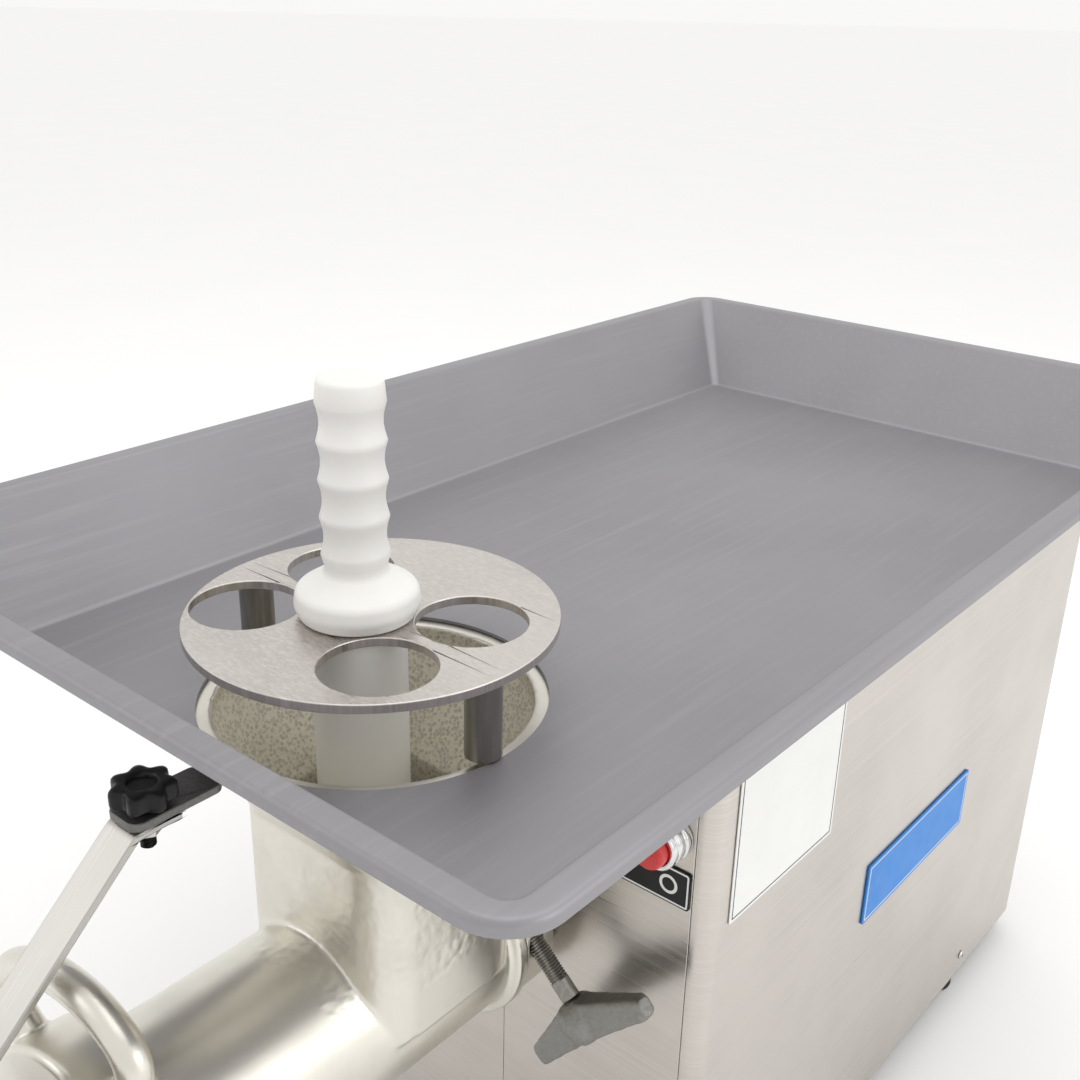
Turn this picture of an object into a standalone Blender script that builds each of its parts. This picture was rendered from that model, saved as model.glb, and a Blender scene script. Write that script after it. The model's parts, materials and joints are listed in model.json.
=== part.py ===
"""Commercial electric meat grinder: feed pan, finger guard and stomper over a cast head, on a drive housing.

Machine coordinates, in metres: X to the machine's right, Y towards the rear, Z up from the table.
X = 0 is the barrel's axis and Y = 0 is the hopper's axis.
The empty "grinder" moves the machine so that the centre of its footprint is at the world's origin.
"""
import bmesh
import bpy
from math import atan, cos, pi, radians, sin, sqrt, tan
from mathutils import Matrix, Vector

# ---------------------------------------------------------------- driving dimensions

GAP = 0.0003                    # left between pieces that touch

# feed pan
PAN_Z = 0.475                   # top of the pan's floor
PAN_DEPTH = 0.070
PAN_LEFT, PAN_RIGHT = -0.250, 0.230      # inner edges of the rim
PAN_FRONT, PAN_REAR = -0.152, 0.689
WALL_LEAN = 0.050               # how far each wall leans out
RIM_WIDTH = 0.013
LIP_DROP = 0.007
SHEET = 0.002
HOLE_R = 0.094                  # hole in the pan's floor

# finger guard and stomper
DISC_R = 0.098
DISC_X, DISC_Y = 0.003, -0.002
DISC_TOP = PAN_Z + 0.0504
DISC_THICK = 0.005
FEED_X, FEED_Y = -0.001, -0.009           # centre of the five feed holes, where the stomper stands
FEED_DX, FEED_DY = 0.050, 0.033           # corner holes, from that centre
FEED_R = 0.0295
STOMPER_R = 0.0254
STOMPER_TOP = PAN_Z + 0.177
STOMPER_END = PAN_Z - 0.105
POST_R = 0.010
POST_REACH = 0.087                        # each post's distance from the feed holes' centre

# grinding head
AXIS_Z = PAN_Z - 0.185
BARREL_R = 0.056
BORE_R = 0.047
NECK_HALF = 0.060
HEAD_FRONT, HEAD_REAR = -0.192, 0.0605
THREAD_R = 0.0600
FLANGE_R = 0.0985                         # hopper flange under the pan
PLATE_R = 0.0500
RING_R = 0.072
LOOP_TOP = 0.115                          # outermost radius of the ring's loop handles
LOOP_BAR = 0.0088

# drive housing
BODY_HALF = 0.160
BODY_FRONT, BODY_REAR = 0.101, 0.668
BODY_BOTTOM = 0.022
BODY_TOP = PAN_Z - SHEET - GAP
BODY_CORNER = 0.012
FOOT_X = 0.135
FOOT_FRONT, FOOT_REAR = 0.225, 0.545
PANEL_HALF = BODY_HALF - 0.0135
PANEL_TOP = BODY_TOP - 0.012
SEAM_X = 0.007                            # where the two front panels meet

# switches
START_X, STOP_X = 0.092, 0.131
BUTTON_Z = PAN_Z - 0.083

# gear train
MODULE = 0.0025
PINION_TEETH, GEAR_TEETH = 14, 70
GEAR_CENTRES = MODULE * (PINION_TEETH + GEAR_TEETH) / 2 + 0.0002
MOTOR_Z = AXIS_Z - GEAR_CENTRES
GEAR_Y, GEAR_WIDTH = 0.160, 0.028

# front deflector on its knob
KNOB_X, KNOB_Y = -0.012, -0.137
STRAP_TOP = PAN_Z - 0.0135
STRAP_WIDTH, STRAP_THICK = 0.022, 0.004
SHIELD_R = 0.150                          # from the knob's axis

# head clamp
CLAMP_Y = 0.070
CLAMP_X, CLAMP_Z = 0.097, PAN_Z - 0.214   # centre of the wing
CLAMP_DOWN = radians(42)

# where the footprint's centre lies
CENTRE_X = (PAN_LEFT + PAN_RIGHT) / 2
CENTRE_Y = (PAN_REAR + RIM_WIDTH + KNOB_Y - SHIELD_R - SHEET) / 2

# ---------------------------------------------------------------- scene and materials

for old in list(bpy.data.objects):
    bpy.data.objects.remove(old, do_unlink=True)

PARTS = bpy.data.collections.new("electric_meat_grinder")
CUTTERS = bpy.data.collections.new("cutters")
bpy.context.scene.collection.children.link(PARTS)
bpy.context.scene.collection.children.link(CUTTERS)

GRINDER = bpy.data.objects.new("grinder", None)
GRINDER.location = (-CENTRE_X, -CENTRE_Y, 0)
PARTS.objects.link(GRINDER)

LOOKS = {
    "pan_steel": ((0.36, 0.35, 0.37), 0.45, 0.9),
    "brushed_steel": ((0.55, 0.52, 0.49), 0.35, 1.0),
    "cast_steel": ((0.56, 0.54, 0.48), 0.42, 0.9),
    "machined_steel": ((0.60, 0.60, 0.60), 0.25, 1.0),
    "rough_cast": ((0.22, 0.21, 0.19), 0.6, 0.8),
    "gear_steel": ((0.35, 0.35, 0.36), 0.4, 1.0),
    "bronze": ((0.45, 0.30, 0.12), 0.35, 1.0),
    "white_plastic": ((0.87, 0.86, 0.84), 0.45, 0.0),
    "black_plastic": ((0.02, 0.02, 0.022), 0.35, 0.0),
    "black_rubber": ((0.02, 0.02, 0.02), 0.8, 0.0),
    "motor_paint": ((0.08, 0.10, 0.12), 0.5, 0.2),
    "chrome": ((0.75, 0.75, 0.76), 0.1, 1.0),
    "red_plastic": ((0.60, 0.04, 0.04), 0.35, 0.0),
    "green_plastic": ((0.03, 0.35, 0.08), 0.35, 0.0),
    "label_white": ((0.80, 0.80, 0.78), 0.5, 0.0),
    "label_blue": ((0.02, 0.20, 0.55), 0.4, 0.0),
}


def make_material(name):
    colour, roughness, metallic = LOOKS[name]
    material = bpy.data.materials.new(name)
    material.use_nodes = True
    shader = material.node_tree.nodes["Principled BSDF"]
    shader.inputs["Base Color"].default_value = (*colour, 1)
    shader.inputs["Roughness"].default_value = roughness
    shader.inputs["Metallic"].default_value = metallic
    material.diffuse_color = (*colour, 1)
    return material


MATERIALS = {name: make_material(name) for name in LOOKS}

# ---------------------------------------------------------------- modelling helpers


def place(name, mesh, look, location=(0, 0, 0), turn=None):
    """Make an object of a mesh and stand it in the machine's coordinates."""
    piece = bpy.data.objects.new(name, mesh)
    PARTS.objects.link(piece)
    piece.parent = GRINDER
    piece.location = location
    if turn is not None:
        piece.rotation_euler = turn.to_euler()
    mesh.materials.append(MATERIALS[look])
    mesh.shade_smooth()
    mesh.set_sharp_from_angle(angle=radians(35))
    return piece


def mesh_of(bm, name):
    bmesh.ops.recalc_face_normals(bm, faces=bm.faces)
    mesh = bpy.data.meshes.new(name)
    bm.to_mesh(mesh)
    bm.free()
    return mesh


def round_edges(piece, width, segments=2, angle=40):
    bevel = piece.modifiers.new("round", "BEVEL")
    bevel.width = width
    bevel.segments = segments
    bevel.limit_method = "ANGLE"
    bevel.angle_limit = radians(angle)
    return piece


def box(name, look, x, y, z, bevel=0.0):
    """A block between the two values of each of x, y and z."""
    bm = bmesh.new()
    bmesh.ops.create_cube(bm, size=1.0)
    size = (x[1] - x[0], y[1] - y[0], z[1] - z[0])
    bmesh.ops.scale(bm, vec=size, verts=bm.verts)
    middle = (sum(x) / 2, sum(y) / 2, sum(z) / 2)
    piece = place(name, mesh_of(bm, name), look, middle)
    if bevel:
        round_edges(piece, bevel)
    return piece


ALONG_X = Matrix.Rotation(pi / 2, 4, "Y")
ALONG_Y = Matrix.Rotation(-pi / 2, 4, "X")          # local +Z becomes world +Y
FACING_FRONT = Matrix.Rotation(pi / 2, 4, "X")      # local +Z becomes world -Y


def cylinder(name, look, radius, length, middle, turn=None, sides=32, bevel=0.0, radius2=None):
    bm = bmesh.new()
    top = radius if radius2 is None else radius2
    bmesh.ops.create_cone(bm, cap_ends=True, segments=sides, radius1=radius, radius2=top, depth=length)
    piece = place(name, mesh_of(bm, name), look, middle, turn)
    if bevel:
        round_edges(piece, bevel)
    return piece


def turned(name, look, profile, location, turn=None, steps=40, closed=False):
    """Turn a profile of (radius, height) points about local Z."""
    mesh = bpy.data.meshes.new(name)
    edges = [(i, i + 1) for i in range(len(profile) - 1)]
    if closed:
        edges.append((len(profile) - 1, 0))
    mesh.from_pydata([(r, 0, h) for r, h in profile], edges, [])
    piece = place(name, mesh, look, location, turn)
    screw = piece.modifiers.new("turn", "SCREW")
    screw.steps = screw.render_steps = steps
    screw.use_merge_vertices = True
    screw.merge_threshold = 0.00005
    screw.use_smooth_shade = True
    return piece


def tube_ring(name, look, outer, inner, low, high, location, turn=None, steps=40):
    """A plain ring between two heights along local Z."""
    profile = [(outer, high), (outer, low), (inner, low), (inner, high)]
    return turned(name, look, profile, location, turn, steps, closed=True)


def flat(name, look, outlines, thickness, location=(0, 0, 0), turn=None, bevel=0.0):
    """A flat plate: the first outline is its edge and the others are holes, in local X and Y."""
    curve = bpy.data.curves.new(name, "CURVE")
    curve.dimensions = "2D"
    curve.fill_mode = "BOTH"
    curve.extrude = thickness / 2
    for outline in outlines:
        spline = curve.splines.new("POLY")
        spline.points.add(len(outline) - 1)
        for point, (x, y) in zip(spline.points, outline):
            point.co = (x, y, 0, 1)
        spline.use_cyclic_u = True
    return from_curve(name, look, curve, location, turn, bevel)


def bent_bar(name, look, points, radius, resolution=2, cyclic=False, location=(0, 0, 0), turn=None):
    curve = bpy.data.curves.new(name, "CURVE")
    curve.dimensions = "3D"
    curve.bevel_depth = radius
    curve.bevel_resolution = resolution
    curve.use_fill_caps = True
    spline = curve.splines.new("POLY")
    spline.points.add(len(points) - 1)
    for point, co in zip(spline.points, points):
        point.co = (*co, 1)
    spline.use_cyclic_u = cyclic
    return from_curve(name, look, curve, location, turn)


def from_curve(name, look, curve, location, turn, bevel=0.0):
    source = bpy.data.objects.new(name + "_curve", curve)
    bpy.context.scene.collection.objects.link(source)
    graph = bpy.context.evaluated_depsgraph_get()
    raw = bpy.data.meshes.new_from_object(source.evaluated_get(graph))
    bpy.data.objects.remove(source, do_unlink=True)
    bm = bmesh.new()
    bm.from_mesh(raw)
    bmesh.ops.remove_doubles(bm, verts=bm.verts, dist=0.00001)
    piece = place(name, mesh_of(bm, name), look, location, turn)
    if bevel:
        round_edges(piece, bevel, 1)
    return piece


def loft(name, look, sections, location=(0, 0, 0), turn=None):
    """A closed solid through sections that all have the same number of points."""
    bm = bmesh.new()
    rings = [[bm.verts.new(point) for point in section] for section in sections]
    count = len(rings[0])
    for low, high in zip(rings, rings[1:]):
        for i in range(count):
            j = (i + 1) % count
            bm.faces.new((low[i], low[j], high[j], high[i]))
    bm.faces.new(rings[0])
    bm.faces.new(rings[-1])
    return place(name, mesh_of(bm, name), look, location, turn)


def make_cutter(piece):
    PARTS.objects.unlink(piece)
    CUTTERS.objects.link(piece)
    piece.display_type = "WIRE"
    piece.hide_render = True


def combine(piece, other, operation):
    make_cutter(other)
    boolean = piece.modifiers.new(other.name, "BOOLEAN")
    boolean.operation = operation
    boolean.solver = "EXACT"
    boolean.object = other
    return piece


def cut(piece, other):
    return combine(piece, other, "DIFFERENCE")


def weld(piece, other):
    return combine(piece, other, "UNION")


def circle(radius, count, x=0.0, y=0.0, start=0.0):
    return [(x + radius * cos(start + 2 * pi * i / count), y + radius * sin(start + 2 * pi * i / count))
            for i in range(count)]


def round_rectangle(x0, x1, y0, y1, radius, arc=4):
    """Corner points run anticlockwise, arc + 1 to a corner."""
    centres = [(x1 - radius, y0 + radius, -pi / 2), (x1 - radius, y1 - radius, 0),
               (x0 + radius, y1 - radius, pi / 2), (x0 + radius, y0 + radius, pi)]
    return [(cx + radius * cos(a + pi / 2 * i / arc), cy + radius * sin(a + pi / 2 * i / arc))
            for cx, cy, a in centres for i in range(arc + 1)]


def at_height(outline, z):
    return [(x, y, z) for x, y in outline]


# ---------------------------------------------------------------- feed pan, guard and stomper


def feed_pan():
    """Open tray folded from sheet: sloping walls, a flat rim and a short lip turned down."""
    floor = round_rectangle(PAN_LEFT + WALL_LEAN, PAN_RIGHT - WALL_LEAN,
                            PAN_FRONT + WALL_LEAN, PAN_REAR - WALL_LEAN, 0.006)
    mouth = round_rectangle(PAN_LEFT, PAN_RIGHT, PAN_FRONT, PAN_REAR, 0.010)
    rim = round_rectangle(PAN_LEFT - RIM_WIDTH, PAN_RIGHT + RIM_WIDTH,
                          PAN_FRONT - RIM_WIDTH, PAN_REAR + RIM_WIDTH, 0.026)
    top = PAN_Z + PAN_DEPTH
    bm = bmesh.new()
    loops = [at_height(floor, PAN_Z), at_height(mouth, top), at_height(rim, top),
             at_height(rim, top - LIP_DROP)]
    rings = [[bm.verts.new(point) for point in loop] for loop in loops]
    count = len(floor)
    bm.faces.new(rings[0])
    for low, high in zip(rings, rings[1:]):
        for i in range(count):
            j = (i + 1) % count
            bm.faces.new((low[i], high[i], high[j], low[j]))
    bmesh.ops.recalc_face_normals(bm, faces=bm.faces)
    if bm.faces[0].normal.z < 0:
        bmesh.ops.reverse_faces(bm, faces=bm.faces)
    mesh = bpy.data.meshes.new("feed_pan")
    bm.to_mesh(mesh)
    bm.free()
    pan = place("feed_pan", mesh, "pan_steel")
    sheet = pan.modifiers.new("sheet", "SOLIDIFY")
    sheet.thickness = SHEET
    sheet.offset = -1
    sheet.use_even_offset = True
    cut(pan, cylinder("pan_hole", "pan_steel", HOLE_R, 0.03, (0, 0, PAN_Z), sides=64))


def guard():
    """Disc with four corner feed holes and the stomper's hole, on two posts."""
    holes = [(FEED_X - DISC_X + sx * FEED_DX, FEED_Y - DISC_Y + sy * FEED_DY)
             for sx in (-1, 1) for sy in (-1, 1)]
    outlines = [circle(DISC_R, 64)]
    outlines += [circle(FEED_R, 28, x, y) for x, y in holes]
    outlines.append(circle(0.0265, 28, FEED_X - DISC_X, FEED_Y - DISC_Y))
    flat("guard_disc", "machined_steel", outlines, DISC_THICK,
         (DISC_X, DISC_Y, DISC_TOP - DISC_THICK / 2))
    low, high = PAN_Z + GAP, DISC_TOP - DISC_THICK - GAP
    for name, side in (("guard_post_right", 1), ("guard_post_left", -1)):
        spot = (FEED_X + side * POST_REACH, FEED_Y + 0.0015, (low + high) / 2)
        cylinder(name, "gear_steel", POST_R, high - low, spot, sides=24)


def stomper():
    """White plastic pusher: scalloped grip, thick flange that rests on the disc, round shaft."""
    seat = DISC_TOP + GAP
    grip = []
    steps = 16
    low, high = seat + 0.030, STOMPER_TOP - 0.004
    for i in range(steps + 1):
        share = i / steps
        swell = 0.0010 * (1 - cos(2 * pi * 4 * share)) / 2
        grip.append((0.0168 - swell * 1.6 + 0.0006 * (1 - share), high + (low - high) * share))
    profile = [(0, STOMPER_TOP), (0.0135, STOMPER_TOP), (0.0162, STOMPER_TOP - 0.0015)]
    profile += grip
    profile += [(0.0185, seat + 0.024), (0.024, seat + 0.019), (0.030, seat + 0.016), (0.0322, seat + 0.012),
                (0.0322, seat + 0.002), (0.0302, seat), (STOMPER_R, seat),
                (STOMPER_R, STOMPER_END + 0.003), (STOMPER_R - 0.003, STOMPER_END), (0, STOMPER_END)]
    turned("stomper", "white_plastic", profile, (FEED_X, FEED_Y, 0), steps=24)


# ---------------------------------------------------------------- grinding head


def head_body():
    """Cast hopper, neck and barrel in one piece, open at the throat and along the bore."""
    count = 32
    start = -pi / 2
    top = circle(FLANGE_R, count, start=start)
    square = round_rectangle(-NECK_HALF, NECK_HALF, -0.055, 0.055, 0.022, arc=7)
    sections = [at_height(top, PAN_Z - SHEET - GAP), at_height(top, PAN_Z - 0.012),
                at_height(circle(FLANGE_R - 0.007, count, start=start), PAN_Z - 0.018),
                at_height(square, PAN_Z - 0.068), at_height(square, AXIS_Z + 0.004)]
    head = loft("head_body", "cast_steel", sections)
    length = HEAD_REAR - HEAD_FRONT
    barrel_middle = (0, (HEAD_REAR + HEAD_FRONT) / 2, AXIS_Z)
    weld(head, cylinder("barrel", "cast_steel", BARREL_R, length, barrel_middle, ALONG_Y, 40))
    thread_middle = (0, HEAD_FRONT + 0.011, AXIS_Z)
    weld(head, cylinder("thread_collar", "cast_steel", THREAD_R, 0.022, thread_middle, ALONG_Y, 48))
    collar_middle = (0, HEAD_REAR - 0.0045, AXIS_Z)
    weld(head, cylinder("rear_collar", "cast_steel", 0.0625, 0.009, collar_middle, ALONG_Y, 48))
    weld(head, cylinder("spigot", "cast_steel", 0.0500, 0.050, (0, HEAD_REAR + 0.005, AXIS_Z), ALONG_Y, 48))
    throat_top = circle(0.086, count, start=start)
    throat_square = round_rectangle(-0.050, 0.050, -0.046, 0.046, 0.022, arc=7)
    throat = [at_height(throat_top, PAN_Z + 0.005), at_height(throat_top, PAN_Z - 0.010),
              at_height(throat_square, PAN_Z - 0.070),
              at_height(round_rectangle(-0.040, 0.040, -0.044, 0.044, 0.022, arc=7), AXIS_Z + 0.005)]
    cut(head, loft("throat", "cast_steel", throat))
    bore_length = length + 0.1
    cut(head, cylinder("bore", "cast_steel", BORE_R, bore_length, barrel_middle, ALONG_Y, 48))
    seat_middle = (0, HEAD_FRONT + 0.0101, AXIS_Z)
    cut(head, cylinder("plate_seat", "cast_steel", PLATE_R + 0.0005, 0.0222, seat_middle, ALONG_Y, 48))


def auger():
    """Core with a helical flight, a bearing pin in front and a driven tang behind."""
    front, rear = HEAD_FRONT + 0.024, 0.052
    core_radius, flight_radius, flight_thick = 0.0190, 0.0455, 0.0055
    core = cylinder("auger", "cast_steel", core_radius, rear - front,
                    (0, (front + rear) / 2, AXIS_Z), ALONG_Y, 24)
    pin_length = 0.0235
    weld(core, cylinder("auger_pin", "cast_steel", 0.0080, pin_length,
                        (0, front - pin_length / 2 + 0.001, AXIS_Z), ALONG_Y, 16))
    turns, steps_per_turn, pitch = 3.5, 14, 0.0560
    steps = int(turns * steps_per_turn)
    bm = bmesh.new()
    half = flight_thick / 2
    base = -(turns * pitch) / 2
    corners = [(core_radius - 0.002, base - half * 1.5), (flight_radius, base - half),
               (flight_radius, base + half), (core_radius - 0.002, base + half * 1.5)]
    face = bm.faces.new([bm.verts.new((r, 0, h)) for r, h in corners])
    bmesh.ops.spin(bm, geom=[face] + list(face.edges) + list(face.verts), cent=(0, 0, 0), axis=(0, 0, 1),
                   dvec=(0, 0, turns * pitch / steps), angle=2 * pi * turns, steps=steps, use_duplicate=False)
    flight = place("auger_flight", mesh_of(bm, "auger_flight"), "cast_steel",
                   (0, (front + rear) / 2 - 0.004, AXIS_Z), ALONG_Y)
    weld(core, flight)
    weld(core, box("auger_tang", "cast_steel", (-0.011, 0.011), (rear - 0.001, rear + 0.020),
                   (AXIS_Z - 0.011, AXIS_Z + 0.011)))


def knife():
    """Four swept blades on a square eye."""
    points = []
    for quarter in range(4):
        a = quarter * pi / 2
        for radius, offset in ((0.0185, -0.62), (0.0440, -0.16), (0.0450, 0.10), (0.0190, 0.36)):
            points.append((radius * cos(a + offset), radius * sin(a + offset)))
    eye = circle(0.0085, 16)
    flat("knife", "machined_steel", [points, eye], 0.0085,
         (0, HEAD_FRONT + 0.0155, AXIS_Z), ALONG_Y)


def hole_plate():
    """Perforated grinding plate, with a bearing hole for the auger's pin."""
    outlines = [circle(PLATE_R, 40), circle(0.0086, 12)]
    for radius, count in ((0.0185, 6), (0.0290, 10), (0.0395, 14)):
        for x, y in circle(radius, count):
            outlines.append(circle(0.0040, 8, x, y))
    flat("hole_plate", "machined_steel", outlines, 0.0100,
         (0, HEAD_FRONT + 0.0052, AXIS_Z), ALONG_Y)


def ring_nut():
    """Threaded retaining ring with three welded loops of round bar to turn it by."""
    low, high = HEAD_FRONT - 0.0135, HEAD_FRONT + 0.0200
    step, mouth = HEAD_FRONT - GAP, 0.0440
    profile = [(RING_R - 0.0025, high), (RING_R, high - 0.0025), (RING_R, low + 0.003), (RING_R - 0.003, low),
               (mouth + 0.004, low), (mouth, low + 0.003), (mouth, step), (THREAD_R + 0.0005, step),
               (THREAD_R + 0.0005, high)]
    ring = turned("ring_nut", "cast_steel", profile, (0, 0, AXIS_Z), ALONG_Y, 36, closed=True)
    apex = LOOP_TOP - LOOP_BAR
    for number, centre in enumerate((-12, 108, 228)):
        path = []
        for i in range(13):
            share = i / 12 * 2 - 1
            angle = radians(centre) + radians(41) * sin(share * pi / 2) * (1 - 0.12 * share ** 8)
            radius = RING_R - 0.004 + (apex - RING_R + 0.004) * (1 - share ** 4)
            path.append((radius * sin(angle), radius * cos(angle), 0))
        loop = bent_bar("loop_%d" % number, "cast_steel", path, LOOP_BAR, 2,
                        location=(0, HEAD_FRONT + 0.004, AXIS_Z), turn=FACING_FRONT)
        weld(ring, loop)


def auger_washer():
    tube_ring("auger_washer", "bronze", 0.0300, 0.0162, 0.0545, 0.0575, (0, 0, AXIS_Z), ALONG_Y, 20)


# ---------------------------------------------------------------- front deflector, bracket and knob


def bracket():
    """Flat bar welded to the hopper's flange, which carries the deflector's strap."""
    top = PAN_Z - 0.0085
    bar = box("bracket", "rough_cast", (KNOB_X - 0.012, KNOB_X + 0.012), (KNOB_Y - 0.014, -FLANGE_R - GAP),
              (top - 0.005 + GAP, top), 0.0008)
    cut(bar, cylinder("bracket_hole", "rough_cast", 0.0044, 0.02, (KNOB_X, KNOB_Y, top), sides=20))


def strap_bar():
    """Flat bar clamped under the bracket, bent down and forward, then straight down to the shield."""
    t = STRAP_THICK
    top = STRAP_TOP
    down = radians(43)
    bend_y = KNOB_Y - 0.012
    end_y = KNOB_Y - SHIELD_R + 0.0105
    drop = (bend_y - end_y) * tan(down)
    low = top - drop
    foot = low - 0.055
    slant = t / cos(down)
    outline = [(KNOB_Y + 0.013, top), (bend_y, top), (end_y, low), (end_y, foot), (end_y + t, foot),
               (end_y + t, low + t * tan(down) - slant), (bend_y + (slant - t) / tan(down), top - t),
               (KNOB_Y + 0.013, top - t)]
    turn = Matrix(((0, 0, 1, 0), (1, 0, 0, 0), (0, 1, 0, 0), (0, 0, 0, 1)))
    strap = flat("strap_bar", "machined_steel", [outline], STRAP_WIDTH, (KNOB_X, 0, 0), turn)
    cut(strap, cylinder("strap_hole", "machined_steel", 0.0044, 0.02, (KNOB_X, KNOB_Y, top), sides=20))
    return end_y, foot, low


def outlet_shield(end_y, foot, low):
    """Curved splash shield in front of the outlet, about the knob's axis, riveted to the strap."""
    height_low, height_high = AXIS_Z - 0.062, low + 0.002
    inner = SHIELD_R
    spread = radians(33)
    count = 14
    angles = [-pi / 2 - spread + 2 * spread * i / count for i in range(count + 1)]
    outer_arc = [((inner + SHEET) * cos(a), (inner + SHEET) * sin(a)) for a in angles]
    inner_arc = [(inner * cos(a), inner * sin(a)) for a in reversed(angles)]
    flat("outlet_shield", "brushed_steel", [outer_arc + inner_arc], height_high - height_low,
         (KNOB_X, KNOB_Y, (height_low + height_high) / 2))
    block_y = (KNOB_Y - inner + 0.0014, end_y - GAP)
    box("shield_block", "machined_steel", (KNOB_X - 0.009, KNOB_X + 0.009), block_y,
        (foot + 0.004, foot + 0.040))


def star_knob():
    """Seven-lobed hand knob on a stud that clamps the strap under the bracket."""
    base = PAN_Z - 0.0085 + GAP
    outline = [((0.0145 + 0.0018 * cos(7 * a)) * cos(a), (0.0145 + 0.0018 * cos(7 * a)) * sin(a))
               for a in (2 * pi * i / 42 for i in range(42))]
    knob = flat("star_knob", "black_plastic", [outline], 0.0110, (KNOB_X, KNOB_Y, base + 0.0025 + 0.0055),
                bevel=0.0015)
    weld(knob, cylinder("knob_boss", "black_plastic", 0.0085, 0.0040, (KNOB_X, KNOB_Y, base + 0.0020),
                        sides=24))
    weld(knob, cylinder("knob_stud", "black_plastic", 0.0040, 0.0250, (KNOB_X, KNOB_Y, base - 0.0105),
                        sides=16))
    cut(knob, cylinder("knob_recess", "black_plastic", 0.0075, 0.004, (KNOB_X, KNOB_Y, base + 0.0135),
                       sides=24))


def strap_nut():
    hexagon = circle(0.0070, 6)
    flat("strap_nut", "machined_steel", [hexagon, circle(0.0043, 16)], 0.0055,
         (KNOB_X, KNOB_Y, STRAP_TOP - STRAP_THICK - GAP - 0.00275))


# ---------------------------------------------------------------- attachment hub and head clamp

CLAMP_AXIS = Vector((cos(CLAMP_DOWN), 0, -sin(CLAMP_DOWN)))
CLAMP_SIDE = Vector((sin(CLAMP_DOWN), 0, cos(CLAMP_DOWN)))
CLAMP_CENTRE = Vector((CLAMP_X, CLAMP_Y, CLAMP_Z))


def clamp_turn():
    """Local Z along the clamp screw, away from the hub; local X along the wings."""
    third = CLAMP_AXIS.cross(CLAMP_SIDE)
    return Matrix((CLAMP_SIDE, third, CLAMP_AXIS)).transposed().to_4x4()


def attachment_hub():
    """Socket that takes the head's spigot, with a boss for the clamp screw."""
    profile = [(0.0600, 0.0250), (0.0600, 0), (0.0505, 0), (0.0505, 0.0365), (0.0200, 0.0365),
               (0.0200, 0.0520), (0.0480, 0.0520), (0.0480, 0.0250)]
    hub = turned("attachment_hub", "rough_cast", profile, (0, HEAD_REAR + 0.0006, AXIS_Z), ALONG_Y, 36,
                 closed=True)
    screw_hole = cylinder("screw_hole", "rough_cast", 0.0066, 0.060, CLAMP_CENTRE - 0.060 * CLAMP_AXIS,
                          clamp_turn(), 20)
    cut(hub, screw_hole)


def clamp_screw():
    """Clamp rod and its cast two-winged handle, square to the rod and swept away from the hub."""
    boss_end = 0.0118
    rod_length = 0.0450
    cylinder("clamp_rod", "gear_steel", 0.0060, rod_length,
             CLAMP_CENTRE - (boss_end + GAP + rod_length / 2) * CLAMP_AXIS, clamp_turn(), 20)
    sweep = tan(radians(9.5))
    sections = []
    for share in (-1, -0.92, -0.45, -0.2, 0.2, 0.45, 0.92, 1):
        reach = 0.056 * share
        size = 1 - abs(share)
        half_wide = 0.0068 + 0.0060 * size if abs(share) < 0.99 else 0.0052
        half_thick = 0.0060 + 0.0035 * size if abs(share) < 0.99 else 0.0045
        rise = abs(reach) * sweep
        ring = round_rectangle(-half_thick, half_thick, rise - half_wide, rise + half_wide, 0.003, arc=2)
        sections.append([(reach, y, z) for y, z in ring])
    wing = loft("clamp_wing", "rough_cast", sections, CLAMP_CENTRE, clamp_turn())
    profile = [(0, 0.0150), (0.0080, 0.0140), (0.0125, 0.0100), (0.0150, 0.0), (0.0135, -0.0080),
               (0.0095, -boss_end), (0, -boss_end)]
    weld(wing, turned("wing_boss", "rough_cast", profile, CLAMP_CENTRE, clamp_turn(), 16))


# ---------------------------------------------------------------- drive housing


def housing_shell():
    """Wrapped steel cover, open below and cut away for the front and rear panels."""
    outline = round_rectangle(-BODY_HALF, BODY_HALF, BODY_FRONT, BODY_REAR, BODY_CORNER, arc=3)
    shell = flat("housing_shell", "brushed_steel", [outline], BODY_TOP - BODY_BOTTOM,
                 (0, 0, (BODY_TOP + BODY_BOTTOM) / 2))
    inside = round_rectangle(-BODY_HALF + SHEET, BODY_HALF - SHEET, BODY_FRONT + SHEET, BODY_REAR - SHEET,
                             BODY_CORNER - SHEET, arc=3)
    height = BODY_TOP - BODY_BOTTOM
    cut(shell, flat("shell_inside", "brushed_steel", [inside], height,
                    (0, 0, (BODY_TOP + BODY_BOTTOM) / 2 - SHEET)))
    for name, y in (("front_opening", BODY_FRONT), ("rear_opening", BODY_REAR)):
        cut(shell, box(name, "brushed_steel", (-PANEL_HALF - 0.0004, PANEL_HALF + 0.0004),
                       (y - 0.005, y + 0.005), (BODY_BOTTOM - 0.01, PANEL_TOP + 0.0004)))


def front_panels():
    """Two front panels that meet on a vertical seam and clear the hub."""
    for name, x in (("front_panel_left", (-PANEL_HALF, SEAM_X - 0.0002)),
                    ("front_panel_right", (SEAM_X + 0.0002, PANEL_HALF))):
        panel = box(name, "brushed_steel", x, (BODY_FRONT, BODY_FRONT + SHEET), (BODY_BOTTOM, PANEL_TOP))
        cut(panel, cylinder(name + "_hub_hole", "brushed_steel", 0.0490, 0.02, (0, BODY_FRONT, AXIS_Z),
                            ALONG_Y, 48))
        if name == "front_panel_right":
            for number, button_x in enumerate((START_X, STOP_X)):
                cut(panel, cylinder("button_hole_%d" % number, "brushed_steel", 0.0092, 0.02,
                                    (button_x, BODY_FRONT, BUTTON_Z), ALONG_Y, 20))


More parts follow.
